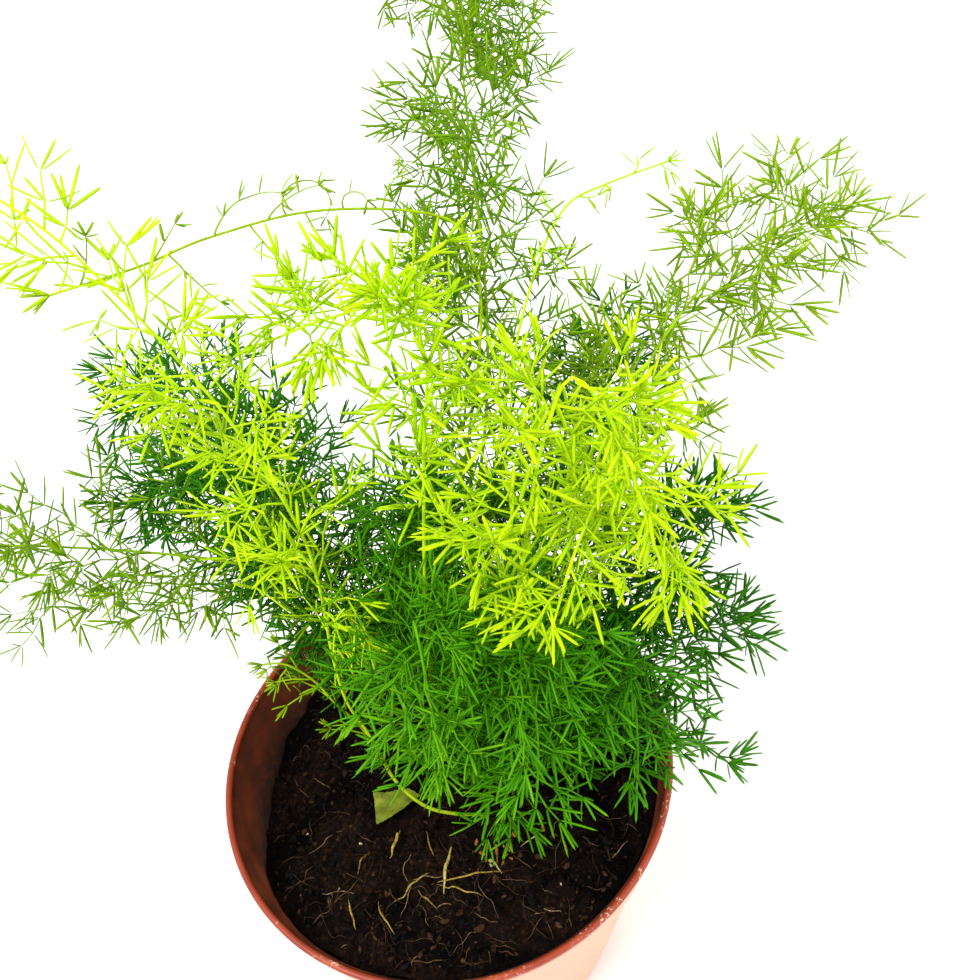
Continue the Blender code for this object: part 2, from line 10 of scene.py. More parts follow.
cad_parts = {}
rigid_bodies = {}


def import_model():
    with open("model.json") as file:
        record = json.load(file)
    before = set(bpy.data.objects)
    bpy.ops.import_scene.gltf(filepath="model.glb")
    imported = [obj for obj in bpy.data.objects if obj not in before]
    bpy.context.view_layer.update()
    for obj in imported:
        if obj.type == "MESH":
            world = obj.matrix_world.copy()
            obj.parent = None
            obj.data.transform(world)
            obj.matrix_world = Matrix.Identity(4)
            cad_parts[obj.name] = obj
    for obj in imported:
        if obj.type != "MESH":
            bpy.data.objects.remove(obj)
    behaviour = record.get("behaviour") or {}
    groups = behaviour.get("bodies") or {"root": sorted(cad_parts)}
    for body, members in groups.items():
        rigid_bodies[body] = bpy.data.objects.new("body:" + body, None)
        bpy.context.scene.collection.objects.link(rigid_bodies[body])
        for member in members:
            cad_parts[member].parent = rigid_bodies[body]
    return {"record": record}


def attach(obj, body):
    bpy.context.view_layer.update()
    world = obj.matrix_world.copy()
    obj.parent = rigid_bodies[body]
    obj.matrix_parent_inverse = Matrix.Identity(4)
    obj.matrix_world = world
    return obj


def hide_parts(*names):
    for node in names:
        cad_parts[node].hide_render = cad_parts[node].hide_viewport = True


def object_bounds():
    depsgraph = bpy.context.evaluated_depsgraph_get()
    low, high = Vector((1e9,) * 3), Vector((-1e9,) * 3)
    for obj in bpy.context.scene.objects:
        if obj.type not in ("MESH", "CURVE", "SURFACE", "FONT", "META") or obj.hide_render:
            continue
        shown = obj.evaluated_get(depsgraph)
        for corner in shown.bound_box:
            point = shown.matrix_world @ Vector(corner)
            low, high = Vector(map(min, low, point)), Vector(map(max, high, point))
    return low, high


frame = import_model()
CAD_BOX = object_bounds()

MM = 0.001

# Camera: it was fitted to the ellipse of the rim, and looks down into the pot from 38 cm away.
# Its place is in mm from the middle of the rim.
PICTURE_WIDTH = 980
SENSOR = 36
FOCAL_PIXELS = 1100
CAMERA_AT = (28.4, -184.8, 329.6)
CAMERA_DOWN = math.radians(47.67)
CAMERA_ROLL = math.radians(-9.02)
LEVEL = Vector((1, 0, 0))
PICTURE_DEEP = Vector((0, math.cos(CAMERA_DOWN), -math.sin(CAMERA_DOWN)))
ABOVE = LEVEL.cross(PICTURE_DEEP)
PICTURE_RIGHT = LEVEL * math.cos(CAMERA_ROLL) + ABOVE * math.sin(CAMERA_ROLL)
PICTURE_UP = ABOVE * math.cos(CAMERA_ROLL) - LEVEL * math.sin(CAMERA_ROLL)

# Floor and light, in metres and watts
FLOOR_REACH = 3.0
WORLD_STRENGTH = 0.9
LIGHT_AIM = Vector((0, 0.05, 0.15))
LIGHTS = [("key", (-0.7, -0.5, 1.6), 22, 0.8), ("fill", (1.2, -0.5, 1.2), 9, 1.1),
          ("back", (0.2, 1.5, 1.3), 9, 1.0)]

# Fine pot
POT_TURNS = 180
FOOT_ROUND = 2 * MM
BAND_ROUND = 0.6 * MM
BAND_UNDERCUT = 0.5 * MM
WALL_HEIGHTS = (6 * MM, 40 * MM, 75 * MM)
INNER_HEIGHT = 80 * MM
LIP_RELIEF = 0.7 * MM
LIP_DROP = 1 * MM
LIP_STEP = 0.8 * MM
DRAIN_SIDES = 32
# Depth below the rim where the painted shade on the inner wall reaches full strength
INNER_SHADE_DEPTH = 28 * MM

# Fine soil and what lies on it
SOIL_TURNS = 360
SOIL_STEPS = 130
EDGE_CROWD = 0.85
LUMP = 9 * MM
CLOD_HEIGHT = 6 * MM
CRUMB = 3.2 * MM
CRUMB_HEIGHT = 2.6 * MM
GRIT = 1.2 * MM
GRIT_HEIGHT = 0.5 * MM
SOIL_SINK = 2.2 * MM
CLOD_SHIFT = Vector((5, 1, 8))
GRIT_SHIFT = Vector((2, 9, 4))
SMOOTH_REACH = 7 * MM
SMOOTH_FADE = 6 * MM
CRUMB_COUNT = 3200
CRUMB_STRETCH = (1.35, 0.8)
LEAF_ROOM = 10 * MM
BARK_COUNT = 26
BARK_AT = (14, -30)
ROOT_COUNT = 460
ROOT_CROWD_Y = -30 * MM
ROOT_LEAF_ROOM = 13 * MM
STRAND_STEPS = 8
WALL_CLEAR = 2 * MM
STRAW_LIFT = 1.6
STRAW_SIDES = 8
STRAW_WANDER = 0.16
SCRAP_PARTS = 7
SCRAP_RINGS = 9
RAGGED = (-0.28, 0.12)
CRUMPLE = 0.5 * MM
RIPPLE_X = 1.7 * MM
RIPPLE_Y = 2.3 * MM
SCRAP_THICKNESS = 0.35 * MM
SCRAP_RISE = 0.2 * MM

# Fine foliage
NODE_STEP = 5.6 * MM
FINE_STEM = 0.68
FINE_STEP = 3 * MM
OLD_WOOD = 0.85
WOOD_FADE = 2.4
TWIG_RADIUS = 0.36 * MM
TWIG_TIP_RADIUS = 0.2 * MM
NEEDLE_WIDTH = 0.98 * MM
NEEDLE_KEEL = 0.42 * MM
NEEDLE_BEND = 0.2
NEEDLE_SECTIONS = ((0.13, 0.8), (0.5, 1.0), (0.88, 0.78))
NEEDLE_FAN = 1.15
FAN_SPREAD = 0.35
NEEDLE_LEAN = (44, 78)
NEEDLE_REACH = (0.72, 1.08)
WIDTH_SPREAD = (0.82, 1.1)
TONE_SPREAD = 0.14
STAR_LEAN = (20, 58)
CROWN_LEAN = (14, 45)
CROWN_TURN = 2.1
CROWN_REACH = 0.8
EDGE_ROOM = 0.4 * MM
TWIG_ZIGZAG = 0.55 * MM
THIN_TWIG = 0.7
TURN_OVER = (0.75, 1.25)
SIDE_CHANCE = 0.6
TWIG_LEAN = (42, 62)
TWIG_REACH = (0.75, 1.35)
TWIG_BEND = 0.08
SHORTER = 0.92
EXTRA_TRIES = 6
EXTRA_LEAN = (50, 72)
EXTRA_REACH = (0.6, 1.0)
CURL_STEPS = 14
CURL_STEP = 2 * MM
CURL_WANDER = Vector((0, 0.25, 0))
CURL_RADIUS = 0.33 * MM

# Pot: a 15 cm thin-walled plastic pot
POT_HEIGHT = 125 * MM
RIM_RADIUS = 75 * MM
BASE_RADIUS = 52 * MM
WALL = 1.8 * MM
FLOOR = 2.5 * MM
BAND_DEPTH = 20 * MM
BAND_STEP = 1.2 * MM
LIP_WIDTH = 2.2 * MM
LIP_DEPTH = 3.0 * MM
FLOOR_FILLET = 3 * MM
POT_SIDES = 36
DRAIN_COUNT = 8
DRAIN_RADIUS = 3.5 * MM
DRAIN_CIRCLE = 38 * MM

# Soil: its top lies lower at the back and in one hollow at the left
GAP = 0.3 * MM
SOIL_DEPTH = 14 * MM
SOIL_SLOPE = 0.107
HOLLOW_AT = (-58 * MM, 6 * MM)
HOLLOW_WIDTH = 22 * MM
HOLLOW_DEPTH = 14 * MM
WAVE_HEIGHT = 0.9 * MM
WAVE_LENGTH = 42 * MM
WAVE_SHIFT = 0.6
EDGE_ROUNDS = 6
ROOT_DEPTH = 12 * MM

# Fallen scrap of leaf on the soil
SCRAP_AT = (-19 * MM, -7 * MM)
SCRAP_LIFT = 0.55 * MM
SCRAP_OUTLINE = [(-9, 7), (-5, 5.5), (-1, 6), (4, 5), (8, 1.5), (3, -2), (-3, -5), (-8, -6.5), (-8.5, 0)]

# Stems and their main side branches
STEM_RADIUS = 0.95 * MM
STEM_TIP_RADIUS = 0.5 * MM
STEM_STEP = 13 * MM
BRANCH_RADIUS = 0.6 * MM
PATH_PARTS = 12
SIDE_GUIDE = (0.12, -0.31, 0.94)
GOLDEN_TURN = math.radians(137.5)
CLEARANCE = 0.35 * MM
WHORL_STEP = 14 * MM
MOST_WHORLS = 2
ROOM_SIZE = 20000
TRIES = 14
TURN_RETRY = 0.6
TURN_SPREAD = 0.35
BRANCH_LEAN = (52, 68)
BRANCH_SPREAD = (0.85, 1.12)
FOOT_SHARE = 0.55
FOOT_RISE = 2.2
TIP_SHARE = 0.32
TIP_RISE = 1.9
SWAY = 0.1
FORWARD = 0.09
DROOP = 0.05
CLEAR_START = 0.12

# Room that branches and needles leave round the ground, the rim, the wall and the soil, and
# how far a stem's lowest bend lies above the soil
GROUND_ROOM = 3 * MM
ABOVE_RIM = 1.2 * MM
ROUND_RIM = 1.5 * MM
WALL_ROOM = 3.5 * MM
SOIL_ROOM = 1.6 * MM
STEM_COLLAR = 1.5 * MM

# Each stem runs through these points, in mm from the middle of the pot's rim. Its first point is on the soil.
# bare: the leafless share at its foot. spacing, reach, needle: its side branches and needles, in mm.
# tip: how much of the reach is left at its tip. tint: 0 is old dark green, 1 is young yellow-green.
STEMS = {
    "stem_tall_back": dict(
        points=[(6, 14), (10, 18, 20), (20, 40, 60), (31, 66, 90), (37, 99, 112),
                (40, 150, 133), (43, 205, 150), (44, 245, 160)],
        bare=0.22, spacing=13, reach=37, tip=0.8, needle=13, tint=0.45),
    "stem_arching_left": dict(
        points=[(-3, 21), (6, 34, 30), (22, 60, 76), (34, 84, 113), (33, 100, 133), (20, 103, 142),
                (-10, 95, 153), (-36, 76, 162), (-50, 54, 171), (-66, 33, 181)],
        bare=0.42, spacing=18, reach=26, needle=9, tint=0.7),
    "stem_near_left": dict(
        points=[(10, -18), (1, -18, -7), (-9, -14, -6), (-18, -5, -2), (-24, 6, 12), (-28, 10, 27),
                (-28, 14, 48), (-25, 16, 80), (-25, 16, 108), (-32, 19, 143), (-42, 24, 168),
                (-52, 30, 185), (-62, 37, 196), (-76, 45, 206)],
        bare=0.36, spacing=12.5, reach=24, tip=0.4, needle=12, tint=0.95),
    "stem_low_left": dict(
        points=[(-22, 8), (-27, 12, 6), (-33, 14, 20), (-38, 18, 29), (-46, 22, 35), (-54, 24, 34)],
        bare=0.3, spacing=9, reach=17, needle=7, tint=0.7),
    "stem_left_low": dict(
        points=[(-14, 14), (-15, 17, 18), (-20, 25, 42), (-33, 36, 55), (-55, 46, 60), (-92, 59, 60),
                (-138, 71, 60), (-163, 77, 58)],
        bare=0.32, spacing=11, reach=42, tip=1.0, needle=13, tint=0.5),
    "stem_left_dark": dict(
        points=[(-10, 28), (-13, 34, 25), (-22, 45, 52), (-38, 60, 72), (-56, 82, 79), (-76, 106, 79),
                (-93, 120, 75)],
        bare=0.2, spacing=11.5, reach=36, tip=0.5, needle=12, tint=0.12),
    "stem_left_deep": dict(
        points=[(-21, 23), (-26, 31, 20), (-36, 48, 45), (-52, 68, 57), (-71, 84, 59), (-90, 97, 53)],
        bare=0.2, spacing=10.5, reach=29, tip=0.6, needle=12, tint=0.12),
    "stem_centre_deep": dict(
        points=[(3, 25), (6, 27, 20), (6, 31, 50), (3, 38, 76), (1, 50, 91)],
        bare=0.25, spacing=9.5, reach=31, tip=0.4, needle=12, tint=0.38),
    "stem_right_high": dict(
        points=[(17, 16), (24, 20, 22), (44, 30, 57), (62, 42, 82), (81, 62, 102), (98, 79, 110),
                (117, 96, 113), (137, 110, 111), (149, 118, 110)],
        bare=0.42, spacing=11, reach=36, tip=0.75, needle=14, tint=0.6),
    "stem_pale_shoot": dict(
        points=[(12, 27), (18, 36, 30), (30, 50, 76), (41, 68, 107), (54, 92, 125), (66, 110, 131),
                (80, 120, 130), (104, 134, 126)],
        bare=0.6, spacing=12, reach=11, needle=8, tint=0.8),
    "stem_centre_bright": dict(
        points=[(13, 1), (19, -1, 30), (30, -4, 79), (38, -6, 127), (44, -4, 150), (51, 0, 160),
                (59, -6, 149), (68, -14, 127), (75, -20, 103)],
        bare=0.36, spacing=11.5, reach=25, tip=0.5, needle=12, tint=0.95),
    "stem_right_bright": dict(
        points=[(20, 4), (28, 8, 28), (43, 10, 70), (53, 7, 108), (58, 2, 126), (55, -8, 130),
                (46, -18, 118), (39, -24, 100)],
        bare=0.4, spacing=11.5, reach=24, tip=0.5, needle=12, tint=0.9),
    "stem_loop_bright": dict(
        points=[(-4, 5), (0, 7, 32), (6, 11, 82), (13, 15, 128), (18, 20, 156), (12, 25, 168),
                (-4, 30, 164), (-20, 38, 154)],
        bare=0.56, spacing=8.5, reach=24, tip=0.6, needle=12, tint=0.85),
    "stem_right_dark": dict(
        points=[(25, 10), (33, 11, 18), (48, 13, 38), (65, 19, 51), (83, 29, 57), (96, 40, 58)],
        bare=0.2, spacing=9.5, reach=25, tip=0.5, needle=12, tint=0.05),
    "stem_right_low": dict(
        points=[(27, -1), (35, -1, 13), (48, -2, 29), (66, 2, 34), (83, 9, 35), (99, 17, 32)],
        bare=0.2, spacing=11, reach=25, tip=0.5, needle=12, tint=0.1),
    "stem_back_dark": dict(
        points=[(21, 27), (27, 32, 22), (40, 44, 46), (57, 62, 63), (74, 90, 73), (88, 114, 76)],
        bare=0.2, spacing=11, reach=32, needle=12, tint=0.08),
    "stem_over_rim": dict(
        points=[(34, -10), (40, -11, 8), (51, -13, 17), (67, -14, 17), (82, -16, 10), (90, -20, 3)],
        bare=0.28, spacing=9, reach=15, needle=11, tint=0.15),
    "stem_front_left": dict(
        points=[(-5, -5), (-3, -5, 28), (0, -3, 64), (2, -5, 84), (3, -14, 82), (3, -24, 64),
                (3, -31, 46)],
        bare=0.2, spacing=11, reach=29, needle=12, tint=0.45),
    "stem_front_mid": dict(
        points=[(7, -9), (10, -9, 24), (18, -7, 62), (25, -8, 80), (30, -16, 76), (31, -26, 56),
                (29, -33, 38), (27, -36, 25)],
        bare=0.2, spacing=11, reach=29, needle=12, tint=0.35),
    "stem_front_low": dict(
        points=[(15, -13), (17, -17, 6), (19, -24, 15), (18, -29, 18), (16, -33, 13)],
        bare=0.25, spacing=9, reach=17, tip=0.6, needle=10, tint=0.35),
    "stem_front_right": dict(
        points=[(20, -12), (28, -9, 20), (44, -6, 46), (55, -6, 58), (60, -14, 54), (60, -24, 36),
                (58, -32, 17)],
        bare=0.22, spacing=9.5, reach=23, needle=12, tint=0.25),
}


# Colours and nodes
def linear(code):
    """An sRGB hex colour as linear red, green, blue and alpha."""
    values = [int(code[at:at + 2], 16) / 255 for at in (1, 3, 5)]
    return (*[v / 12.92 if v <= 0.04045 else ((v + 0.055) / 1.055) ** 2.4 for v in values], 1)


def add_node(tree, kind, settings=None, inputs=None, stops=None):
    """One node with its settings. An input is a value or the socket that feeds it; stops colour a ramp."""
    node = tree.nodes.new(kind)
    for key, value in (settings or {}).items():
        setattr(node, key, value)
    for key, value in (inputs or {}).items():
        if isinstance(value, bpy.types.NodeSocket):
            tree.links.new(value, node.inputs[key])
        else:
            node.inputs[key].default_value = value
    for index, (place, code) in enumerate(stops or []):
        ramp = node.color_ramp.elements
        stop = ramp[index] if index < len(ramp) else ramp.new(1)
        stop.position = place
        stop.color = linear(code)
    return node


def new_material(name, roughness, ior, specular=0.5):
    """A material, its nodes, its shader and the object's own coordinates in metres."""
    material = bpy.data.materials.new(name)
    material.use_nodes = True
    shader = material.node_tree.nodes["Principled BSDF"]
    shader.inputs["Roughness"].default_value = roughness
    shader.inputs["IOR"].default_value = ior
    shader.inputs["Specular IOR Level"].default_value = specular
    place = add_node(material.node_tree, "ShaderNodeTexCoord").outputs["Object"]
    return material, material.node_tree, shader, place


# Materials
def moulded_polypropylene():
    """Injection-moulded polypropylene: satin and terracotta red, faintly mottled.

    The lip has pale pink specks in patches, which are painted highlights, and the outer wall below the lip is
    painted paler, a painted highlight of the strong light on it.
    """
    material, tree, shader, place = new_material("moulded_polypropylene", 0.42, 1.49)
    mottle = add_node(tree, "ShaderNodeTexNoise",
                      inputs={"Vector": place, "Scale": 1 / (14 * MM), "Detail": 4})
    base = add_node(tree, "ShaderNodeValToRGB", inputs={"Fac": mottle.outputs["Fac"]},
                    stops=[(0.3, "#8c2e14"), (0.55, "#9c3a1c"), (0.75, "#ac4826")])
    # Pale pink specks in patches on the lip: painted highlights
    specks = add_node(tree, "ShaderNodeTexNoise",
                      inputs={"Vector": place, "Scale": 1 / (1.4 * MM), "Detail": 5, "Roughness": 0.7})
    glint_specks = add_node(tree, "ShaderNodeValToRGB", inputs={"Fac": specks.outputs["Fac"]},
                      stops=[(0.56, "#000000"), (0.63, "#ffffff")])
    patches = add_node(tree, "ShaderNodeTexNoise", inputs={"Vector": place, "Scale": 1 / (15 * MM)})
    glint_patches = add_node(tree, "ShaderNodeValToRGB", inputs={"Fac": patches.outputs["Fac"]},
                       stops=[(0.47, "#000000"), (0.57, "#ffffff")])
    height = add_node(tree, "ShaderNodeSeparateXYZ", inputs={"Vector": place})
    on_lip = add_node(tree, "ShaderNodeMapRange",
                      inputs={"Value": height.outputs["Z"], "From Min": POT_HEIGHT - 3 * MM,
                              "From Max": POT_HEIGHT - 0.8 * MM})
    glint_mask = add_node(tree, "ShaderNodeMath", {"operation": "MULTIPLY"},
                    {0: glint_specks.outputs["Color"], 1: glint_patches.outputs["Color"]})
    lip_glints = add_node(tree, "ShaderNodeMath", {"operation": "MULTIPLY"},
                       {0: glint_mask.outputs[0], 1: on_lip.outputs["Result"]})
    # Below the lip the outer wall is mixed three quarters towards pale peach: a painted highlight of the
    # strong light on the wall
    wall_highlight = add_node(tree, "ShaderNodeMapRange",
                     inputs={"Value": height.outputs["Z"], "From Min": POT_HEIGHT - 2.5 * MM,
                             "From Max": POT_HEIGHT - 6 * MM, "To Max": 0.75})
    wall = add_node(tree, "ShaderNodeMix", {"data_type": "RGBA"},
                    {0: wall_highlight.outputs["Result"], 6: base.outputs["Color"], 7: linear("#e8b68e")})
    # The pale pink painted highlights are laid over the lip
    colour = add_node(tree, "ShaderNodeMix", {"data_type": "RGBA"},
                      {0: lip_glints.outputs[0], 6: wall.outputs[2], 7: linear("#eec6b0")})
    tree.links.new(colour.outputs[2], shader.inputs["Base Color"])
    # The real grain is about 0.1 mm, too fine to show, so it is drawn at 0.9 mm
    grain = add_node(tree, "ShaderNodeTexNoise", inputs={"Vector": place, "Scale": 1 / (0.9 * MM)})
    relief = add_node(tree, "ShaderNodeBump",
                      inputs={"Height": grain.outputs["Fac"], "Distance": 0.05 * MM, "Strength": 0.35})
    tree.links.new(relief.outputs["Normal"], shader.inputs["Normal"])
    return material


def shaded_polypropylene():
    """The same plastic inside, with painted shade: a duller, darker red-brown, and dark streaks of painted
    shade lower down.
    """
    material, tree, shader, place = new_material("shaded_polypropylene", 0.62, 1.49)
    mottle = add_node(tree, "ShaderNodeTexNoise",
                      inputs={"Vector": place, "Scale": 1 / (11 * MM), "Detail": 5})
    # A darker red-brown than the outer wall: painted shade inside the pot
    base = add_node(tree, "ShaderNodeValToRGB", inputs={"Fac": mottle.outputs["Fac"]},
                    stops=[(0.3, "#542210"), (0.5, "#723015"), (0.72, "#8c431f")])
    height = add_node(tree, "ShaderNodeSeparateXYZ", inputs={"Vector": place})
    low = add_node(tree, "ShaderNodeMapRange",
                   inputs={"Value": height.outputs["Z"], "From Min": POT_HEIGHT - 4 * MM,
                           "From Max": POT_HEIGHT - INNER_SHADE_DEPTH})
    streaks = add_node(tree, "ShaderNodeTexNoise",
                       inputs={"Vector": place, "Scale": 1 / (3 * MM), "Detail": 6, "Roughness": 0.7})
    low_streaks = add_node(tree, "ShaderNodeMath", {"operation": "MULTIPLY"},
                       {0: streaks.outputs["Fac"], 1: low.outputs["Result"]})
    # Dark grey-brown streaks, stronger towards the soil: painted shade
    streak_shade = add_node(tree, "ShaderNodeValToRGB", inputs={"Fac": low_streaks.outputs[0]},
                     stops=[(0.18, "#000000"), (0.46, "#ffffff")])
    colour = add_node(tree, "ShaderNodeMix", {"data_type": "RGBA"},
                      {0: streak_shade.outputs["Color"], 6: base.outputs["Color"], 7: linear("#3a2a20")})
    tree.links.new(colour.outputs[2], shader.inputs["Base Color"])
    relief = add_node(tree, "ShaderNodeBump",
                      inputs={"Height": streak_shade.outputs["Color"], "Distance": 0.3 * MM, "Strength": 0.5})
    tree.links.new(relief.outputs["Normal"], shader.inputs["Normal"])
    return material


def peat_mix():
    """Damp peat with bark fines: near black, browner on the crumbs' crests, dull."""
    material, tree, shader, place = new_material("peat_mix", 0.9, 1.4, 0.1)
    crumbs = add_node(tree, "ShaderNodeTexNoise",
                      inputs={"Vector": place, "Scale": 1 / (2.0 * MM), "Detail": 6, "Roughness": 0.72})
    base = add_node(tree, "ShaderNodeValToRGB", inputs={"Fac": crumbs.outputs["Fac"]},
                    stops=[(0.34, "#080403"), (0.5, "#170d08"), (0.62, "#2e1b10"), (0.76, "#5a3d28")])
    patches = add_node(tree, "ShaderNodeTexNoise",
                       inputs={"Vector": place, "Scale": 1 / (20 * MM), "Detail": 3})
    damp = add_node(tree, "ShaderNodeValToRGB", inputs={"Fac": patches.outputs["Fac"]},
                    stops=[(0.4, "#5c5450"), (0.62, "#ffffff")])
    colour = add_node(tree, "ShaderNodeMix", {"data_type": "RGBA", "blend_type": "MULTIPLY"},
                      {0: 1.0, 6: base.outputs["Color"], 7: damp.outputs["Color"]})
    tree.links.new(colour.outputs[2], shader.inputs["Base Color"])
    relief = add_node(tree, "ShaderNodeBump",
                      inputs={"Height": crumbs.outputs["Fac"], "Distance": 0.6 * MM, "Strength": 0.8})
    tree.links.new(relief.outputs["Normal"], shader.inputs["Normal"])
    return material


def loose_matter(name, roughness, stops):
    """Loose bits on the soil, such as bark, root, straw and pumice; each bit has its own tone."""
    material, tree, shader, place = new_material(name, roughness, 1.4, 0.2)
    tone = add_node(tree, "ShaderNodeAttribute", {"attribute_name": "tone"})
    base = add_node(tree, "ShaderNodeValToRGB", inputs={"Fac": tone.outputs["Fac"]}, stops=stops)
    mottle = add_node(tree, "ShaderNodeTexNoise",
                      inputs={"Vector": place, "Scale": 1 / (1.1 * MM), "Detail": 3})
    shade = add_node(tree, "ShaderNodeValToRGB", inputs={"Fac": mottle.outputs["Fac"]},
                     stops=[(0.3, "#868686"), (0.7, "#ffffff")])
    colour = add_node(tree, "ShaderNodeMix", {"data_type": "RGBA", "blend_type": "MULTIPLY"},
                      {0: 1.0, 6: base.outputs["Color"], 7: shade.outputs["Color"]})
    tree.links.new(colour.outputs[2], shader.inputs["Base Color"])
    relief = add_node(tree, "ShaderNodeBump",
                      inputs={"Height": mottle.outputs["Fac"], "Distance": 0.2 * MM, "Strength": 0.6})
    tree.links.new(relief.outputs["Normal"], shader.inputs["Normal"])
    return material


def fading_leaf():
    """A torn leaf blade that is drying: dull yellow-green, with brown freckles and faint raised veins."""
    material, tree, shader, place = new_material("fading_leaf", 0.55, 1.42)
    blotch = add_node(tree, "ShaderNodeTexNoise",
                      inputs={"Vector": place, "Scale": 1 / (5 * MM), "Detail": 4})
    base = add_node(tree, "ShaderNodeValToRGB", inputs={"Fac": blotch.outputs["Fac"]},
                    stops=[(0.3, "#56660e"), (0.55, "#7c8a18"), (0.75, "#a0a434")])
    freckles = add_node(tree, "ShaderNodeTexNoise",
                        inputs={"Vector": place, "Scale": 1 / (1.1 * MM), "Detail": 3})
    brown = add_node(tree, "ShaderNodeValToRGB", inputs={"Fac": freckles.outputs["Fac"]},
                     stops=[(0.6, "#000000"), (0.68, "#ffffff")])
    colour = add_node(tree, "ShaderNodeMix", {"data_type": "RGBA"},
                      {0: brown.outputs["Color"], 6: base.outputs["Color"], 7: linear("#665619")})
    tree.links.new(colour.outputs[2], shader.inputs["Base Color"])
    veins = add_node(tree, "ShaderNodeTexWave", {"bands_direction": "DIAGONAL"},
                     {"Vector": place, "Scale": 1 / (9 * MM), "Distortion": 2, "Detail": 2})
    relief = add_node(tree, "ShaderNodeBump",
                      inputs={"Height": veins.outputs["Fac"], "Distance": 0.25 * MM, "Strength": 0.6})
    tree.links.new(relief.outputs["Normal"], shader.inputs["Normal"])
    return material


def waxy_cladodes(name, greens, wood):
    """Waxy, needle-like cladodes on wiry stems: satin, yellower at the tips, olive-brown on old stem."""
    material, tree, shader, place = new_material(name, 0.5, 1.43, 0.08)
    tone = add_node(tree, "ShaderNodeAttribute", {"attribute_name": "tone"})
    green = add_node(tree, "ShaderNodeValToRGB", inputs={"Fac": tone.outputs["Fac"]},
                     stops=list(zip((0.0, 0.3, 0.55, 0.8, 1.0), greens)))
    old = add_node(tree, "ShaderNodeAttribute", {"attribute_name": "wood"})
    stem = add_node(tree, "ShaderNodeMix", {"data_type": "RGBA"},
                    {0: old.outputs["Fac"], 6: green.outputs["Color"], 7: linear(wood)})
    mottle = add_node(tree, "ShaderNodeTexNoise", inputs={"Vector": place, "Scale": 1 / (7 * MM)})
    shade = add_node(tree, "ShaderNodeValToRGB", inputs={"Fac": mottle.outputs["Fac"]},
                     stops=[(0.3, "#d6d6d6"), (0.65, "#ffffff")])
    colour = add_node(tree, "ShaderNodeMix", {"data_type": "RGBA", "blend_type": "MULTIPLY"},
                      {0: 1.0, 6: stem.outputs[2], 7: shade.outputs["Color"]})
    tree.links.new(colour.outputs[2], shader.inputs["Base Color"])
    return material


# Meshes
class Strands:
    """Tubes, needles and crumbs gathered into one mesh, with a tone and a wood value at each point."""

    def __init__(self):
        self.points = []
        self.faces = []
        self.tones = []
        self.woods = []

    def add(self, points, faces, tones, woods=None):
        first = len(self.points)
        self.points.extend(points)
        self.faces.extend([tuple(first + corner for corner in face) for face in faces])
        self.tones.extend(tones)
        self.woods.extend(woods or [0.0] * len(points))

    def tube(self, line, radii, sides, tone, woods=None):
        points, faces = [], []
        side = across_frame((line[1] - line[0]).normalized())[0]
        for index, centre in enumerate(line):
            direction = (line[min(index + 1, len(line) - 1)] - line[max(index - 1, 0)]).normalized()
            side = (side - direction * side.dot(direction)).normalized()
            up = direction.cross(side)
            for step in range(sides):
                angle = 2 * math.pi * step / sides
                points.append(centre + (side * math.cos(angle) + up * math.sin(angle)) * radii[index])
        for ring in range(len(line) - 1):
            faces += ring_faces(ring * sides, (ring + 1) * sides, sides)
        last = (len(line) - 1) * sides
        faces.append(tuple(reversed(range(sides))))
        faces.append(tuple(last + step for step in range(sides)))
        ring_woods = [wood for wood in woods for _ in range(sides)] if woods else None
        self.add(points, faces, [tone] * len(points), ring_woods)

    def needle(self, root, aim, bend, length, width, tone):
        """A linear, pointed needle with a keel below: three ridged sections between two points."""
        side = aim.cross(bend)
        side = side.normalized() if side.length > 0.01 else across_frame(aim)[0]
        points = [root]
        for share, wide in NEEDLE_SECTIONS:
            centre = root + aim * length * share + bend * length * NEEDLE_BEND * share ** 2
            below = (aim + bend * 2 * NEEDLE_BEND * share).normalized().cross(side)
            points.append(centre + side * width * wide / 2)
            points.append(centre - side * width * wide / 2)
            points.append(centre + below * NEEDLE_KEEL * wide)
        points.append(root + aim * length + bend * length * NEEDLE_BEND)
        faces = [(0, 2, 1), (0, 3, 2), (0, 1, 3)]
        for low in (1, 4):
            faces += [(low, low + 1, low + 4, low + 3), (low + 1, low + 2, low + 5, low + 4)]
            faces.append((low + 2, low, low + 3, low + 5))
        faces += [(7, 8, 10), (8, 9, 10), (9, 7, 10)]
        tones = [tone - 0.1] + [tone] * 6 + [tone + 0.06] * 3 + [tone + 0.16]
        self.add(points, faces, [min(1.0, max(0.0, value)) for value in tones])

    def build(self, name, material, smooth=True):
        mesh = bpy.data.meshes.new(name)
        mesh.from_pydata([tuple(point) for point in self.points], [], self.faces)
        for key, values in (("tone", self.tones), ("wood", self.woods)):
            layer = mesh.attributes.new(key, "FLOAT", "POINT")
            layer.data.foreach_set("value", values)
        mesh.materials.append(material)
        if smooth:
            mesh.shade_smooth()
        mesh.update()
        item = bpy.data.objects.new(name, mesh)
        bpy.context.scene.collection.objects.link(item)
        return item


def mesh_object(name, points, faces, material, sharp=35):
    mesh = bpy.data.meshes.new(name)
    mesh.from_pydata([tuple(point) for point in points], [], faces)
    mesh.materials.append(material)
    mesh.shade_smooth()
    mesh.set_sharp_from_angle(angle=math.radians(sharp))
    item = bpy.data.objects.new(name, mesh)
    bpy.context.scene.collection.objects.link(item)
    return item


def ring_faces(low, high, sides):
    """The faces between two rings of points, each named by its first point."""
    return [(low + step, low + (step + 1) % sides, high + (step + 1) % sides, high + step)
            for step in range(sides)]


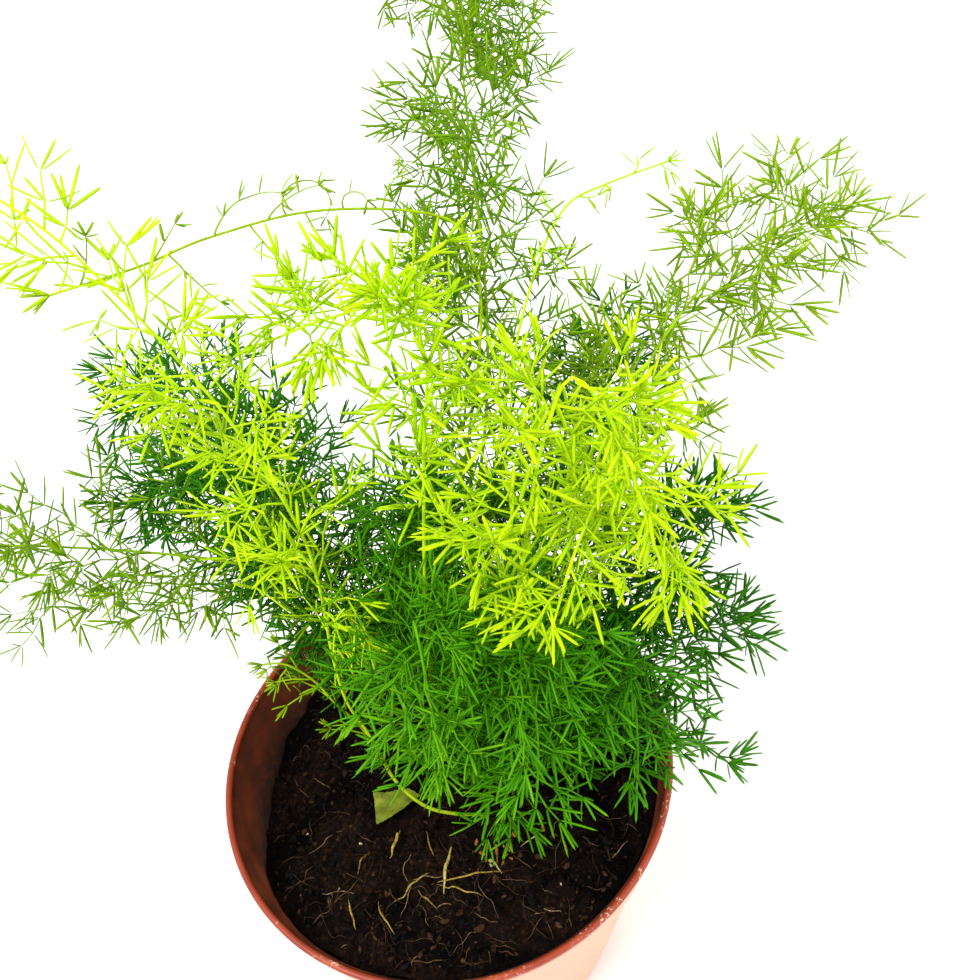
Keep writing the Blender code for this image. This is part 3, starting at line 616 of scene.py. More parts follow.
def turned(outline, sides):
    """Points and faces of an outline turned round the upright axis; its two ends lie on the axis."""
    points, rings, faces = [], [], []
    for radius, z in outline:
        count = 1 if radius == 0 else sides
        rings.append(list(range(len(points), len(points) + count)))
        for step in range(count):
            angle = 2 * math.pi * step / sides
            points.append((radius * math.cos(angle), radius * math.sin(angle), z))
    for lower, upper in zip(rings, rings[1:]):
        for step in range(sides):
            after = (step + 1) % sides
            corners = [lower[step % len(lower)], lower[after % len(lower)]]
            corners += [upper[after % len(upper)], upper[step % len(upper)]]
            faces.append(tuple(dict.fromkeys(corners)))
    return points, faces


def arc(centre, radius, start, stop, steps):
    turns = [math.radians(start + (stop - start) * step / steps) for step in range(steps + 1)]
    return [(centre[0] + radius * math.cos(turn), centre[1] + radius * math.sin(turn)) for turn in turns]


# Pot
def taper():
    return (RIM_RADIUS - BAND_STEP - BASE_RADIUS) / POT_HEIGHT


def outer_radius(z):
    return BASE_RADIUS + taper() * z


def inner_radius(z):
    return outer_radius(z) - WALL


def pot_outline():
    band_foot = POT_HEIGHT - BAND_DEPTH
    lip_foot = POT_HEIGHT - LIP_DEPTH
    half_lip = LIP_WIDTH / 2
    wall_in = inner_radius(lip_foot)
    band_edge = outer_radius(band_foot) + BAND_STEP - BAND_ROUND
    outline = [(0, 0), (BASE_RADIUS - FOOT_ROUND, 0)]
    outline += arc((BASE_RADIUS - FOOT_ROUND, FOOT_ROUND), FOOT_ROUND, -70, 0, 4)
    outline += [(outer_radius(z), z) for z in (*WALL_HEIGHTS, band_foot - BAND_UNDERCUT)]
    outline += arc((band_edge, band_foot + BAND_ROUND), BAND_ROUND, -80, -10, 3)
    outline += [(RIM_RADIUS - LIP_RELIEF, lip_foot - LIP_DROP)]
    outline += arc((RIM_RADIUS - half_lip, POT_HEIGHT - half_lip), half_lip, -25, 205, 12)
    outline += [(wall_in, lip_foot - LIP_STEP), (inner_radius(INNER_HEIGHT), INNER_HEIGHT)]
    outline += [(inner_radius(FLOOR + FLOOR_FILLET), FLOOR + FLOOR_FILLET)]
    outline += [(inner_radius(FLOOR) - FLOOR_FILLET, FLOOR), (0, FLOOR)]
    return outline


def cut_drains(pot):
    cutters = bpy.data.collections.new("drains")
    bpy.context.scene.collection.children.link(cutters)
    for index in range(DRAIN_COUNT):
        angle = 2 * math.pi * (index + 0.5) / DRAIN_COUNT
        bm = bmesh.new()
        bmesh.ops.create_cone(bm, cap_ends=True, segments=DRAIN_SIDES, radius1=DRAIN_RADIUS,
                              radius2=DRAIN_RADIUS, depth=FLOOR * 3)
        bmesh.ops.translate(bm, verts=bm.verts,
                            vec=(DRAIN_CIRCLE * math.cos(angle), DRAIN_CIRCLE * math.sin(angle), FLOOR / 2))
        mesh = bpy.data.meshes.new(f"drain_{index}")
        bm.to_mesh(mesh)
        bm.free()
        cutters.objects.link(bpy.data.objects.new(f"drain_{index}", mesh))
    cut = pot.modifiers.new("drains", "BOOLEAN")
    cut.operation = "DIFFERENCE"
    cut.operand_type = "COLLECTION"
    cut.collection = cutters
    mesh = bpy.data.meshes.new_from_object(pot.evaluated_get(bpy.context.evaluated_depsgraph_get()))
    pot.modifiers.remove(cut)
    pot.data = mesh
    for item in list(cutters.objects):
        bpy.data.objects.remove(item, do_unlink=True)
    bpy.data.collections.remove(cutters)


def make_pot():
    points, faces = turned(pot_outline(), POT_TURNS)
    pot = mesh_object("pot_moulded", points, faces, moulded_polypropylene(), 50)
    pot.data.materials.append(shaded_polypropylene())
    # Faces inside the pot, from the floor up to the lip, take the darker finish with painted shade
    for face in pot.data.polygons:
        x, y, z = face.center
        inside = math.hypot(x, y) < (outer_radius(z) + inner_radius(z)) / 2
        face.material_index = 1 if inside and FLOOR * 0.9 < z < POT_HEIGHT - LIP_WIDTH * 0.6 else 0
    cut_drains(pot)
    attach(pot, "root")
    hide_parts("pot")


# Soil
def soil_top(x, y):
    across = (x - HOLLOW_AT[0]) ** 2 + (y - HOLLOW_AT[1]) ** 2
    hollow = HOLLOW_DEPTH * math.exp(-across / (2 * HOLLOW_WIDTH ** 2))
    turn = 2 * math.pi / WAVE_LENGTH
    wave = WAVE_HEIGHT * math.sin(turn * x + WAVE_SHIFT) * math.cos(turn * y)
    return POT_HEIGHT - SOIL_DEPTH - SOIL_SLOPE * y - hollow + wave


def soil_edge(angle):
    """The soil's radius at an angle, just inside the flats of the pot's wall."""
    radius = BASE_RADIUS
    for _ in range(EDGE_ROUNDS):
        z = soil_top(radius * math.cos(angle), radius * math.sin(angle))
        radius = inner_radius(z) * math.cos(math.pi / POT_SIDES) - GAP
    return radius


def root_foot(x, y):
    return soil_top(x, y) - ROOT_DEPTH


def crumbly_top(x, y):
    """The soil's top in clods, crumbs and grit. It is smoother under the fallen leaf."""
    place = Vector((x, y, 0))
    warp = Vector((noise.noise(place / LUMP), noise.noise(place / LUMP + CLOD_SHIFT), 0)) * 0.5
    near, far = noise.voronoi(place / LUMP + warp)[0][:2]
    clods = min(0.5, far - near) * CLOD_HEIGHT
    near, far = noise.voronoi(place / CRUMB + warp * 2)[0][:2]
    crumbs = min(0.5, far - near) * CRUMB_HEIGHT
    grit = noise.noise(place / GRIT + GRIT_SHIFT) * GRIT_HEIGHT
    away = math.hypot(x - SCRAP_AT[0], y - SCRAP_AT[1])
    rough = min(1, max(0.1, (away - SMOOTH_REACH) / SMOOTH_FADE))
    return soil_top(x, y) + (clods + crumbs + grit) * rough - SOIL_SINK


def make_soil(material):
    points, faces = [], []
    angles = [2 * math.pi * step / SOIL_TURNS for step in range(SOIL_TURNS)]
    edges = [soil_edge(angle) for angle in angles]
    for ring in range(SOIL_STEPS, 0, -1):
        for angle, edge in zip(angles, edges):
            radius = edge * (ring / SOIL_STEPS) ** EDGE_CROWD
            x, y = radius * math.cos(angle), radius * math.sin(angle)
            points.append((x, y, crumbly_top(x, y)))
    points.append((0, 0, crumbly_top(0, 0)))
    for ring in range(SOIL_STEPS - 1):
        faces += ring_faces(ring * SOIL_TURNS, (ring + 1) * SOIL_TURNS, SOIL_TURNS)
    last = (SOIL_STEPS - 1) * SOIL_TURNS
    foot = len(points)
    bottom = FLOOR + FLOOR_FILLET
    radius = inner_radius(bottom) - 2 * GAP
    points += [(radius * math.cos(angle), radius * math.sin(angle), bottom) for angle in angles]
    faces += [(last + step, last + (step + 1) % SOIL_TURNS, foot - 1) for step in range(SOIL_TURNS)]
    faces += ring_faces(foot, 0, SOIL_TURNS)
    faces.append(tuple(range(foot, foot + SOIL_TURNS))[::-1])
    soil = mesh_object("soil_bed", points, faces, material, 80)
    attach(soil, "root")
    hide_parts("soil")


def random_spot(rng, reach=0.97):
    angle = rng.uniform(0, 2 * math.pi)
    radius = soil_edge(angle) * reach * math.sqrt(rng.random())
    return radius * math.cos(angle), radius * math.sin(angle)


def add_crumb(strands, rng, x, y, size, tone):
    """A small lump with its own shape and tilt, sunk a little into the soil."""
    bm = bmesh.new()
    bmesh.ops.create_icosphere(bm, subdivisions=1, radius=size / 2)
    flat = rng.uniform(0.4, 0.9)
    tilt = Matrix.Rotation(rng.uniform(0, math.pi), 3, "Z") @ Matrix.Rotation(rng.uniform(-0.7, 0.7), 3, "X")
    seat = Vector((x, y, crumbly_top(x, y) + size * 0.12))
    points = []
    for vert in bm.verts:
        push = 1 + rng.uniform(-0.28, 0.28)
        shape = Vector((vert.co.x * CRUMB_STRETCH[0], vert.co.y * CRUMB_STRETCH[1], vert.co.z * flat))
        points.append(tilt @ shape * push + seat)
    faces = [tuple(vert.index for vert in face.verts) for face in bm.faces]
    bm.free()
    strands.add(points, faces, [tone] * len(points))


def make_crumbs():
    rng = random.Random("crumbs")
    crumbs = Strands()
    for _ in range(CRUMB_COUNT):
        x, y = random_spot(rng)
        if math.hypot(x - SCRAP_AT[0], y - SCRAP_AT[1]) < LEAF_ROOM:
            continue
        size = rng.uniform(0.6, 1.0 + 2.2 * rng.random() ** 2)
        add_crumb(crumbs, rng, x, y, size * MM, rng.random() ** 3 * 0.72)
    for _ in range(BARK_COUNT):
        x, y = rng.gauss(BARK_AT[0], 5) * MM, rng.gauss(BARK_AT[1], 4) * MM
        add_crumb(crumbs, rng, x, y, rng.uniform(0.8, 1.9) * MM, rng.uniform(0.85, 1.0))
    stops = [(0.0, "#0d0705"), (0.35, "#241409"), (0.7, "#553820"), (0.88, "#b0642a"), (1.0, "#d8a45a")]
    piece = crumbs.build("soil_crumbs", loose_matter("bark_fines", 0.85, stops), smooth=False)
    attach(piece, "root")


def lying_strand(strands, rng, x, y, turn, length, radius, tone, lift=0.6, sides=4, wander=0.42):
    """A thin root or straw that lies over the crumbs and wanders a little."""
    line = []
    for step in range(STRAND_STEPS + 1):
        share = step / STRAND_STEPS
        rise = math.sin(math.pi * share) * lift * MM + radius
        line.append(Vector((x, y, crumbly_top(x, y) + rise)))
        turn += rng.uniform(-wander, wander)
        x += math.cos(turn) * length / STRAND_STEPS
        y += math.sin(turn) * length / STRAND_STEPS
        if math.hypot(x, y) > soil_edge(math.atan2(y, x)) - WALL_CLEAR:
            break
    if len(line) > 3:
        smooth, _ = smooth_path(line, length / 12)
        radii = [radius * (0.2 + 0.8 * math.sin(math.pi * index / (len(smooth) - 1)))
                 for index in range(len(smooth))]
        strands.tube(smooth, radii, sides, tone)


def make_roots():
    rng = random.Random("roots")
    roots = Strands()
    for _ in range(ROOT_COUNT):
        x, y = random_spot(rng, 0.95)
        crowd = 1.0 if y < ROOT_CROWD_Y else 0.4
        if rng.random() > crowd or math.hypot(x - SCRAP_AT[0], y - SCRAP_AT[1]) < ROOT_LEAF_ROOM:
            continue
        lying_strand(roots, rng, x, y, rng.uniform(0, 2 * math.pi), rng.uniform(4, 17) * MM,
                     rng.uniform(0.08, 0.19) * MM, rng.random() ** 2.2, rng.uniform(0.2, 1.4))
    stops = [(0.0, "#3a2618"), (0.35, "#5e432b"), (0.7, "#8d6f49"), (1.0, "#c2a878")]
    piece = roots.build("fine_roots", loose_matter("root_fibre", 0.7, stops))
    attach(piece, "root")


# Straws and thick roots: start, heading in degrees, length and radius in mm, tone
STRAWS = [((-2, -26), -112, 17, 0.55, 0.85), ((-19, -17), -95, 11, 0.5, 0.7), ((-22, -43), 30, 15, 0.3, 0.45),
          ((-10, -38), -12, 24, 0.3, 0.4), ((-8, -39), -30, 16, 0.26, 0.5), ((-14, -40), -60, 9, 0.3, 0.35),
          ((-30, -22), -100, 9, 0.3, 0.3), ((-27, -41), -88, 13, 0.3, 0.55), ((-36, -40), -80, 10, 0.3, 0.5),
          ((34, -28), -100, 8, 0.3, 0.6), ((20, -31), 5, 9, 0.25, 0.9), ((-10, -20), -80, 9, 0.25, 0.35),
          ((12, -27), -85, 9, 0.45, 0.15), ((-24, 0), -70, 7, 0.3, 0.6), ((9, -33), -60, 7, 0.3, 0.95)]
# Pumice granules: place and size in mm
GRANULES = [(-53, -7, 1.2), (-33, -18, 1.4), (10, -36, 1.0), (27, -24, 0.9), (-40, -34, 0.8), (31, -46, 0.8)]


def make_straws():
    rng = random.Random("straws")
    straws = Strands()
    for (x, y), heading, length, radius, tone in STRAWS:
        lying_strand(straws, rng, x * MM, y * MM, math.radians(heading), length * MM, radius * MM, tone,
                     STRAW_LIFT, STRAW_SIDES, STRAW_WANDER)
    stops = [(0.0, "#8a4a26"), (0.4, "#b79a45"), (0.7, "#d8b64a"), (1.0, "#e8e08a")]
    piece = straws.build("straws", loose_matter("dry_straw", 0.5, stops))
    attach(piece, "root")
    grains = Strands()
    for x, y, size in GRANULES:
        add_crumb(grains, rng, x * MM, y * MM, size * MM, 1.0)
    stops = [(0.0, "#a8895c"), (1.0, "#d9c197")]
    piece = grains.build("granules", loose_matter("pumice", 0.8, stops), smooth=False)
    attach(piece, "root")


def ragged_edge():
    """The scrap's outline with a torn edge, seen from above and from the scrap's middle."""
    rng = random.Random("scrap")
    around = []
    count = len(SCRAP_OUTLINE)
    for index, (x, y) in enumerate(SCRAP_OUTLINE):
        after = SCRAP_OUTLINE[(index + 1) % count]
        for part in range(SCRAP_PARTS):
            share = part / SCRAP_PARTS
            ragged = rng.uniform(*RAGGED)
            px, py = x + (after[0] - x) * share, y + (after[1] - y) * share
            away = 1 + ragged / math.hypot(px, py)
            around.append((px * away * MM, py * away * MM))
    return around


def make_scrap():
    around = ragged_edge()
    points, faces = [], []
    turns = len(around)
    for level in (0, 1):
        first = len(points)
        points.append(scrap_point(0, 0, level))
        for ring in range(1, SCRAP_RINGS + 1):
            points += [scrap_point(x * ring / SCRAP_RINGS, y * ring / SCRAP_RINGS, level) for x, y in around]
        for step in range(turns):
            after = (step + 1) % turns
            fan = (first, first + 1 + step, first + 1 + after)
            faces.append(fan if level else fan[::-1])
            for ring in range(SCRAP_RINGS - 1):
                low, high = first + 1 + ring * turns, first + 1 + (ring + 1) * turns
                quad = (low + step, high + step, high + after, low + after)
                faces.append(quad if level else quad[::-1])
    edge = 1 + (SCRAP_RINGS - 1) * turns
    layer = 1 + SCRAP_RINGS * turns
    faces += ring_faces(edge, layer + edge, turns)
    scrap = mesh_object("leaf_torn", points, faces, fading_leaf(), 60)
    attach(scrap, "root")
    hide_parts("leaf_scrap")


def scrap_point(x, y, level):
    ripple = CRUMPLE * (1 + math.sin((x + 0.6 * y) / RIPPLE_X) * math.cos((y - 0.3 * x) / RIPPLE_Y))
    z = soil_top(SCRAP_AT[0] + x, SCRAP_AT[1] + y) + SCRAP_LIFT + ripple
    return (SCRAP_AT[0] + x, SCRAP_AT[1] + y, z + level * SCRAP_THICKNESS + SCRAP_RISE)


# Stems: where they run
def stem_points(stem):
    x, y = (value * MM for value in stem["points"][0])
    points = [Vector((x, y, root_foot(x, y))), Vector((x, y, soil_top(x, y) + STEM_COLLAR))]
    for px, py, pz in stem["points"][1:]:
        points.append(Vector((px * MM, py * MM, POT_HEIGHT + pz * MM)))
    return points


def smooth_path(points, step):
    dense = []
    for index in range(len(points) - 1):
        before = points[max(index - 1, 0)]
        start, end = points[index], points[index + 1]
        after = points[min(index + 2, len(points) - 1)]
        for part in range(PATH_PARTS):
            t = part / PATH_PARTS
            pull = (2 * start + (end - before) * t + (2 * before - 5 * start + 4 * end - after) * t ** 2
                    + (3 * start - before - 3 * end + after) * t ** 3)
            dense.append(pull / 2)
    dense.append(points[-1])
    lengths = [0.0]
    for a, b in zip(dense, dense[1:]):
        lengths.append(lengths[-1] + (b - a).length)
    count = max(2, round(lengths[-1] / step))
    targets = [lengths[-1] * index / count for index in range(count + 1)]
    return [point_along(dense, lengths, target) for target in targets], lengths[-1]


def point_along(dense, lengths, target):
    for index in range(1, len(lengths)):
        if lengths[index] >= target or index == len(lengths) - 1:
            span = lengths[index] - lengths[index - 1]
            share = (target - lengths[index - 1]) / span if span else 0
            return dense[index - 1].lerp(dense[index], min(max(share, 0), 1))


def across_frame(direction):
    side = direction.cross(Vector(SIDE_GUIDE))
    if side.length < 0.05:
        side = direction.cross(Vector((1, 0, 0)))
    side.normalize()
    return side, direction.cross(side).normalized()


def leaning(direction, turn, lean):
    side, up = across_frame(direction)
    outward = side * math.cos(turn) + up * math.sin(turn)
    return (direction * math.cos(lean) + outward * math.sin(lean)).normalized()


def stem_radius(share):
    return STEM_RADIUS + (STEM_TIP_RADIUS - STEM_RADIUS) * share


# Room: each main branch keeps clear of the other stems and of the other main branches
class Room:
    def __init__(self):
        self.count = 0
        self.starts = np.zeros((ROOM_SIZE, 3))
        self.ends = np.zeros((ROOM_SIZE, 3))
        self.radii = np.zeros(ROOM_SIZE)
        self.stems = np.zeros(ROOM_SIZE, int)
        self.branches = np.zeros(ROOM_SIZE, int)

    def add(self, start, end, radius, owner):
        self.starts[self.count] = start
        self.ends[self.count] = end
        self.radii[self.count] = radius
        self.stems[self.count], self.branches[self.count] = owner
        self.count += 1

    def free(self, start, end, radius, owner):
        stems, branches = self.stems[:self.count], self.branches[:self.count]
        others = (stems != owner[0]) | ((branches != owner[1]) & (branches >= 0))
        if not others.any():
            return True
        gaps = segment_gaps(np.array(start), np.array(end), self.starts[:self.count][others],
                            self.ends[:self.count][others])
        return bool((gaps > self.radii[:self.count][others] + radius + CLEARANCE).all())


def segment_gaps(start, end, starts, ends):
    along = end - start
    others = ends - starts
    between = start - starts
    a = max(float(along @ along), 1e-12)
    e = np.maximum(np.einsum("ij,ij->i", others, others), 1e-12)
    b = others @ along
    c = between @ along
    f = np.einsum("ij,ij->i", others, between)
    spread = np.maximum(a * e - b * b, 1e-15)
    s = np.clip((b * f - c * e) / spread, 0, 1)
    t = np.clip((b * s + f) / e, 0, 1)
    s = np.clip((b * t - c) / a, 0, 1)
    apart = (start + np.outer(s, along)) - (starts + others * t[:, None])
    return np.sqrt(np.einsum("ij,ij->i", apart, apart))


def off_the_pot(start, end):
    for part in range(1, 5):
        point = start.lerp(end, part / 4)
        reach = math.hypot(point.x, point.y)
        if point.z < GROUND_ROOM:
            return False
        if point.z < POT_HEIGHT + ABOVE_RIM:
            if inner_radius(point.z) - WALL_ROOM < reach < RIM_RADIUS + ROUND_RIM:
                return False
            if reach < RIM_RADIUS and point.z < soil_top(point.x, point.y) + SOIL_ROOM:
                return False
    return True


# Main side branches: turned round the stem by the golden angle, the same ones as on the solids
def grow_branches(number, name, stem, room):
    rng = random.Random(name)
    path, length = smooth_path(stem_points(stem), STEM_STEP)
    first = stem["bare"] * length
    gap = stem["spacing"] * MM
    count = int((length - first) / gap)
    branches = []
    for index in range(count + 1):
        share = (first + index * gap) / length
        at = min(int(share * (len(path) - 1)), len(path) - 2)
        tangent = (path[at + 1] - path[at]).normalized()
        start = path[at].lerp(path[at + 1], share * (len(path) - 1) - at)
        reach = stem["reach"] * MM * fullness(stem, share) * rng.uniform(*BRANCH_SPREAD)
        turn = index * GOLDEN_TURN + rng.uniform(-TURN_SPREAD, TURN_SPREAD)
        lean = math.radians(rng.uniform(*BRANCH_LEAN))
        for attempt in range(TRIES):
            line = branch_line(start, tangent, turn + attempt * TURN_RETRY, lean, reach, rng)
            if branch_fits(line, (number, index), room):
                break
        else:
            continue
        for a, b in zip(line, line[1:]):
            room.add(a, b, BRANCH_RADIUS, (number, index))
        branches.append((index, line, share))
    return path, branches


def fullness(stem, share):
    """Branches are shorter near the stem's foot and near its tip."""
    foot = min(1, FOOT_SHARE + FOOT_RISE * (share - stem["bare"]))
    tip = min(1, stem.get("tip", TIP_SHARE) + TIP_RISE * (1 - share))
    return foot * tip


def branch_line(start, tangent, turn, lean, reach, rng):
    count = min(MOST_WHORLS, max(1, round(reach / WHORL_STEP)))
    direction = leaning(tangent, turn, lean)
    line = [start]
    for index in range(count):
        sway = Vector((rng.uniform(-1, 1), rng.uniform(-1, 1), rng.uniform(-1, 1))) * SWAY
        direction = (direction + tangent * FORWARD + Vector((0, 0, -DROOP)) + sway).normalized()
        line.append(line[-1] + direction * reach / count)
    return line


def branch_fits(line, owner, room):
    start = line[0].lerp(line[1], CLEAR_START)
    for a, b in zip([start] + line[1:], line[1:]):
        if not off_the_pot(a, b) or not room.free(a, b, BRANCH_RADIUS, owner):
            return False
    return True


# Foliage
def in_box(point):
    low, high = CAD_BOX
    return all(low[i] + EDGE_ROOM < point[i] < high[i] - EDGE_ROOM for i in range(3))


def fits(start, end):
    """Whether a twig or needle stays inside the CAD's box and off the pot."""
    return in_box(end) and off_the_pot(start, end)


def add_needles(strands, rng, root, direction, turn, look, count, length, tone, lean=NEEDLE_LEAN):
    """A bunch of needles at one joint, fanned out round the given side of the twig."""
    for place in range(count):
        spread = (place - (count - 1) / 2) * NEEDLE_FAN + rng.uniform(-FAN_SPREAD, FAN_SPREAD)
        aim = leaning(direction, turn + spread, math.radians(rng.uniform(*lean)))
        reach = length * rng.uniform(*NEEDLE_REACH)
        bend = direction * rng.uniform(-0.2, 0.9) - Vector((0, 0, rng.uniform(-0.3, 0.6)))
        bend = bend - aim * bend.dot(aim)
        width = look.get("width", 1.0) * NEEDLE_WIDTH * rng.uniform(*WIDTH_SPREAD)
        if fits(root, root + (aim + bend * NEEDLE_BEND) * reach):
            strands.needle(root, aim, bend, reach, width, tone + rng.uniform(-TONE_SPREAD, TONE_SPREAD))


def add_twig(strands, rng, line, look, length, tone, side_twigs=True):
    """A wiry zigzag twig with needles at each joint, side twigs, and a loose star of needles at its tip."""
    points, _ = smooth_path(line, NODE_STEP)
    across = across_frame((line[-1] - line[0]).normalized())[0]
    last = len(points) - 1
    for index in range(1, last):
        points[index] = points[index] + across * (TWIG_ZIGZAG if index % 2 else -TWIG_ZIGZAG)
    thick = 1.0 if side_twigs else THIN_TWIG
    narrowing = TWIG_TIP_RADIUS - TWIG_RADIUS
    radii = [thick * (TWIG_RADIUS + narrowing * index / last) for index in range(last + 1)]
    strands.tube(points, radii, 5, min(1.0, tone + 0.1))
    turn = rng.uniform(0, 2 * math.pi)
    for index in range(1, last):
        direction = (points[index + 1] - points[index - 1]).normalized()
        turn += math.pi * rng.uniform(*TURN_OVER)
        count = rng.choice(look.get("whorl", (2, 3, 3)))
        add_needles(strands, rng, points[index], direction, turn, look, count, length, tone)
        if side_twigs and index < last - 1 and rng.random() < look.get("side", SIDE_CHANCE):
            aim = leaning(direction, turn + math.pi, math.radians(rng.uniform(*TWIG_LEAN)))
            end = points[index] + aim * length * rng.uniform(*TWIG_REACH)
            if fits(points[index], end):
                bent = points[index].lerp(end, 0.5) + direction * length * TWIG_BEND
                add_twig(strands, rng, [points[index], bent, end], look, length * SHORTER, tone, False)
    direction = (points[-1] - points[-2]).normalized()
    turn = rng.uniform(0, 2 * math.pi)
    for _ in range(look.get("star", 2)):
        add_needles(strands, rng, points[-1], direction, turn, look, 2, length * SHORTER, tone + 0.05,
                    STAR_LEAN)
        turn += math.pi / 2


def between_branches(path, branches, look, rng):
    """Branches that fill in between the main ones."""
    lines = []
    more = look.get("more", 1)
    for (_, line, share), (_, _, after) in zip(branches, branches[1:]):
        for part in range(more):
            middle = share + (after - share) * (part + 1) / (more + 1)
            at = min(int(middle * (len(path) - 1)), len(path) - 2)
            tangent = (path[at + 1] - path[at]).normalized()
            start = path[at].lerp(path[at + 1], middle * (len(path) - 1) - at)
            reach = (line[-1] - line[0]).length * rng.uniform(*EXTRA_REACH)
            for _ in range(EXTRA_TRIES):
                lean = math.radians(rng.uniform(*EXTRA_LEAN))
                extra = branch_line(start, tangent, rng.uniform(0, 2 * math.pi), lean, reach, rng)
                if fits(extra[0].lerp(extra[1], CLEAR_START), extra[-1]):
                    lines.append((extra, middle))
                    break
    return lines


def add_curls(strands, rng, line, look, length, tone):
    """Thin wiry branchlets that curl in the open, with a few short needles on them."""
    for share, heading, reach, curl in look["curls"]:
        point = line[round(share * (len(line) - 1))]
        points = [point]
        angle = math.radians(heading)
        for _ in range(CURL_STEPS):
            point = point + (PICTURE_RIGHT * math.cos(angle) + PICTURE_UP * math.sin(angle)
                             + CURL_WANDER * rng.uniform(-1, 1)) * reach * MM / CURL_STEPS
            points.append(point)
            angle += math.radians(curl) / CURL_STEPS
        smooth, _ = smooth_path(points, CURL_STEP)
        last = len(smooth) - 1
        strands.tube(smooth, [CURL_RADIUS * (1 - 0.5 * index / last) for index in range(last + 1)], 5, tone)
        for index in range(3, last + 1, 3):
            direction = (smooth[index] - smooth[index - 1]).normalized()
            many = 4 if index + 3 > last else rng.choice((1, 1, 2))
            add_needles(strands, rng, smooth[index], direction, rng.uniform(0, 6.3), look, many,
                        length * rng.uniform(0.5, 0.8), tone)


def twig_tone(tone, share):
    """Twigs are younger, and so paler, further up the stem."""
    return tone * (0.82 + 0.28 * share)


def make_leafy_stem(name, stem, path, branches, material):
    rng = random.Random(name + "_fine")
    look = LOOKS.get(name, {})
    strands = Strands()
    line, _ = smooth_path(stem_points(stem), FINE_STEP)
    last = len(line) - 1
    radii = [stem_radius(index / last) * FINE_STEM for index in range(last + 1)]
    woods = [max(0.0, OLD_WOOD - WOOD_FADE * index / last) for index in range(last + 1)]
    tone = stem["tint"]
    length = stem["needle"] * MM
    strands.tube(line, radii, 8, min(1.0, tone + 0.15), woods)
    if "curls" in look:
        add_curls(strands, rng, line, look, length, tone)
        branches = branches[:look["kept"]]
    for _, twig, share in branches:
        add_twig(strands, rng, twig, look, length, twig_tone(tone, share))
    for twig, share in between_branches(path, branches, look, rng):
        add_twig(strands, rng, twig, look, length, twig_tone(tone, share))
    direction = (line[-1] - line[-2]).normalized()
    for turn in range(3):
        add_needles(strands, rng, line[-1], direction, turn * CROWN_TURN, look, 2, length * CROWN_REACH, tone,
                    CROWN_LEAN)
    piece = strands.build(name + "_foliage", material)
    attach(piece, "root")
    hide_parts(name)


# Greens from the oldest needles to the youngest tips
DEEP_GREENS = ("#307604", "#429006", "#5ca808", "#7ebc10", "#a6d622")
MIDDLE_GREENS = ("#3a7c06", "#5a9406", "#7eaa08", "#9ec20a", "#bedc14")
YOUNG_GREENS = ("#5aa604", "#80be00", "#9cd200", "#b0e200", "#ccf210")

# What sets a stem's fine growth apart. more: branches between the main ones. side: chance of a side twig.
# whorl: needles at a joint. star: pairs at a twig's tip. width: of its needles. kept: main branches shown.
# curls: share up the stem, heading in the picture in degrees, length in mm and turn in degrees.
LOOKS = {
    "stem_tall_back": dict(more=2, side=0.75),
    "stem_arching_left": dict(
        more=0, side=0.3, whorl=(1, 2), kept=3, width=0.85,
        curls=[(0.83, 75, 26, -100), (0.755, 115, 30, -250), (0.77, 60, 20, -60), (0.9, 60, 11, 0),
               (0.79, -52, 36, 20), (0.88, -45, 27, 5), (0.73, -62, 32, 30), (0.7, 110, 17, -260),
               (0.66, 80, 13, -40), (0.63, -75, 24, 30), (0.97, 70, 12, 30)]),
    "stem_near_left": dict(more=2, side=0.5, width=0.95),
    "stem_low_left": dict(more=1, side=0.3, width=0.8),
    "stem_left_low": dict(more=1, side=0.4),
    "stem_left_dark": dict(more=3, side=0.8),
    "stem_left_deep": dict(more=4, side=0.9),
    "stem_centre_deep": dict(more=5, side=1.0),
    "stem_right_high": dict(more=1, side=0.7),
    "stem_pale_shoot": dict(more=0, side=0.1, whorl=(1, 2), width=0.8, star=1),
    "stem_centre_bright": dict(more=2, side=0.5, width=1.15),
    "stem_right_bright": dict(more=1, side=0.5, width=1.15),
    "stem_loop_bright": dict(more=2, side=0.5, width=1.1),
    "stem_right_dark": dict(more=4, side=1.0),
    "stem_right_low": dict(more=3, side=0.9),
    "stem_back_dark": dict(more=3, side=0.9),
    "stem_front_left": dict(more=2, side=0.9),
    "stem_front_mid": dict(more=3, side=0.9),
    "stem_front_low": dict(more=2, side=0.8),
    "stem_front_right": dict(more=2, side=0.7),
}


def make_foliage():
    greens = {
        "dark_foliage": waxy_cladodes("old_waxy_cladodes", DEEP_GREENS, "#6b5a24"),
        "mid_foliage": waxy_cladodes("grown_waxy_cladodes", MIDDLE_GREENS, "#7d7a22"),
        "bright_foliage": waxy_cladodes("young_waxy_cladodes", YOUNG_GREENS, "#8f9426"),
    }
    slots = {part["node"]: part["material_slot"] for part in frame["record"]["subparts"]}
    room = Room()
    for number, stem in enumerate(STEMS.values()):
        path, _ = smooth_path(stem_points(stem), STEM_STEP)
        for a, b in zip(path, path[1:]):
            room.add(a, b, STEM_RADIUS, (number, -1))
    grown = [grow_branches(number, name, STEMS[name], room) for number, name in enumerate(STEMS)]
    for name, (path, branches) in zip(STEMS, grown):
        slot = slots[name]
        make_leafy_stem(name, STEMS[name], path, branches, greens[slot])


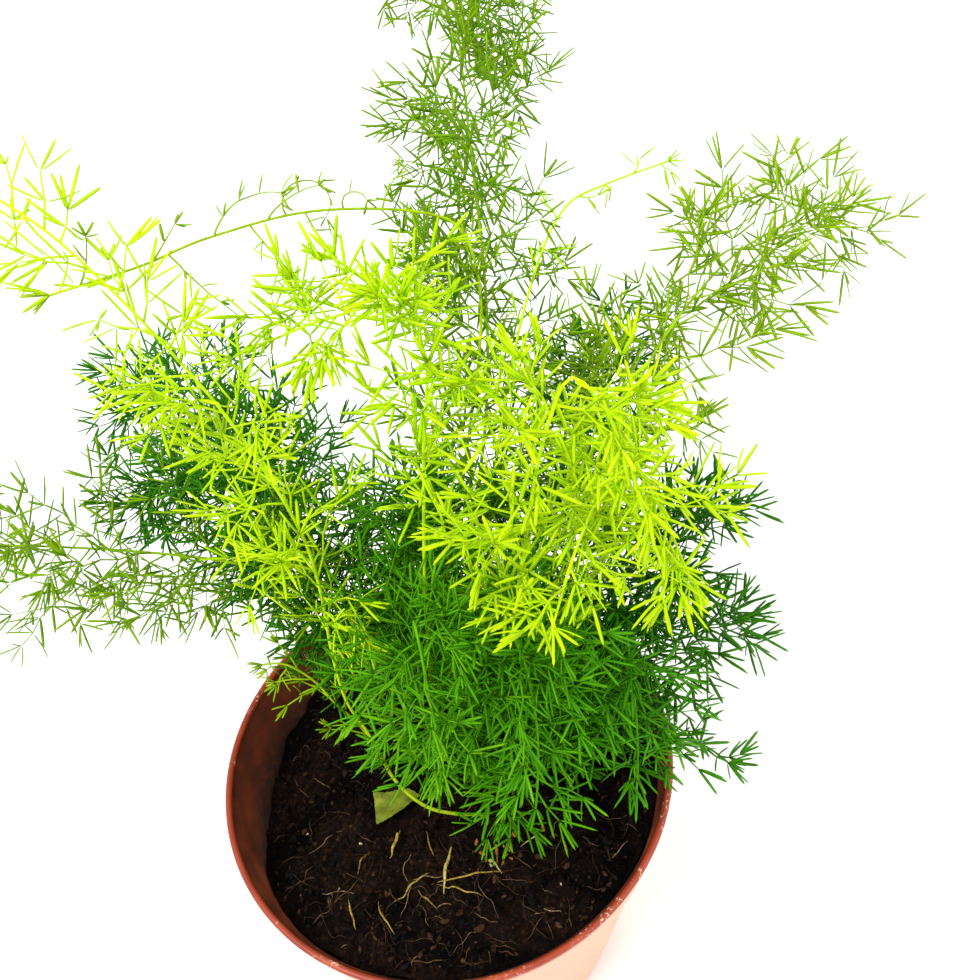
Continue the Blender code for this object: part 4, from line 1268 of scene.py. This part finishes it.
# Camera, floor and light
def make_camera():
    data = bpy.data.cameras.new("camera")
    data.sensor_width = SENSOR
    data.lens = SENSOR * FOCAL_PIXELS / PICTURE_WIDTH
    data.clip_start = 0.01
    camera = bpy.data.objects.new("camera", data)
    bpy.context.scene.collection.objects.link(camera)
    turn = Matrix((PICTURE_RIGHT, PICTURE_UP, -PICTURE_DEEP)).transposed().to_4x4()
    place = Vector((CAMERA_AT[0] * MM, CAMERA_AT[1] * MM, POT_HEIGHT + CAMERA_AT[2] * MM))
    camera.matrix_world = Matrix.Translation(place) @ turn
    bpy.context.scene.camera = camera


def make_floor():
    reach = FLOOR_REACH
    corners = [(-reach, -reach, 0), (reach, -reach, 0), (reach, reach, 0), (-reach, reach, 0)]
    material, tree, shader, place = new_material("pale_floor", 0.95, 1.4)
    tint = add_node(tree, "ShaderNodeTexNoise", inputs={"Vector": place, "Scale": 1 / (400 * MM)})
    base = add_node(tree, "ShaderNodeValToRGB", inputs={"Fac": tint.outputs["Fac"]},
                    stops=[(0.3, "#fcfcfb"), (0.7, "#ffffff")])
    tree.links.new(base.outputs["Color"], shader.inputs["Base Color"])
    mesh_object("floor", corners, [(0, 1, 2, 3)], material)


def area_light(name, place, power, size):
    data = bpy.data.lights.new(name, "AREA")
    data.energy = power
    data.shape = "DISK"
    data.size = size
    light = bpy.data.objects.new(name, data)
    light.location = Vector(place)
    aim = LIGHT_AIM - light.location
    light.rotation_euler = aim.to_track_quat("-Z", "Y").to_euler()
    bpy.context.scene.collection.objects.link(light)


def make_light():
    world = bpy.data.worlds.new("studio")
    world.use_nodes = True
    back = world.node_tree.nodes["Background"]
    back.inputs["Color"].default_value = linear("#ffffff")
    back.inputs["Strength"].default_value = WORLD_STRENGTH
    bpy.context.scene.world = world
    bpy.context.scene.view_settings.view_transform = "Standard"
    for name, place, power, size in LIGHTS:
        area_light(name, place, power, size)


make_camera()
make_floor()
make_light()
make_pot()
make_soil(peat_mix())
make_crumbs()
make_roots()
make_straws()
make_scrap()
make_foliage()
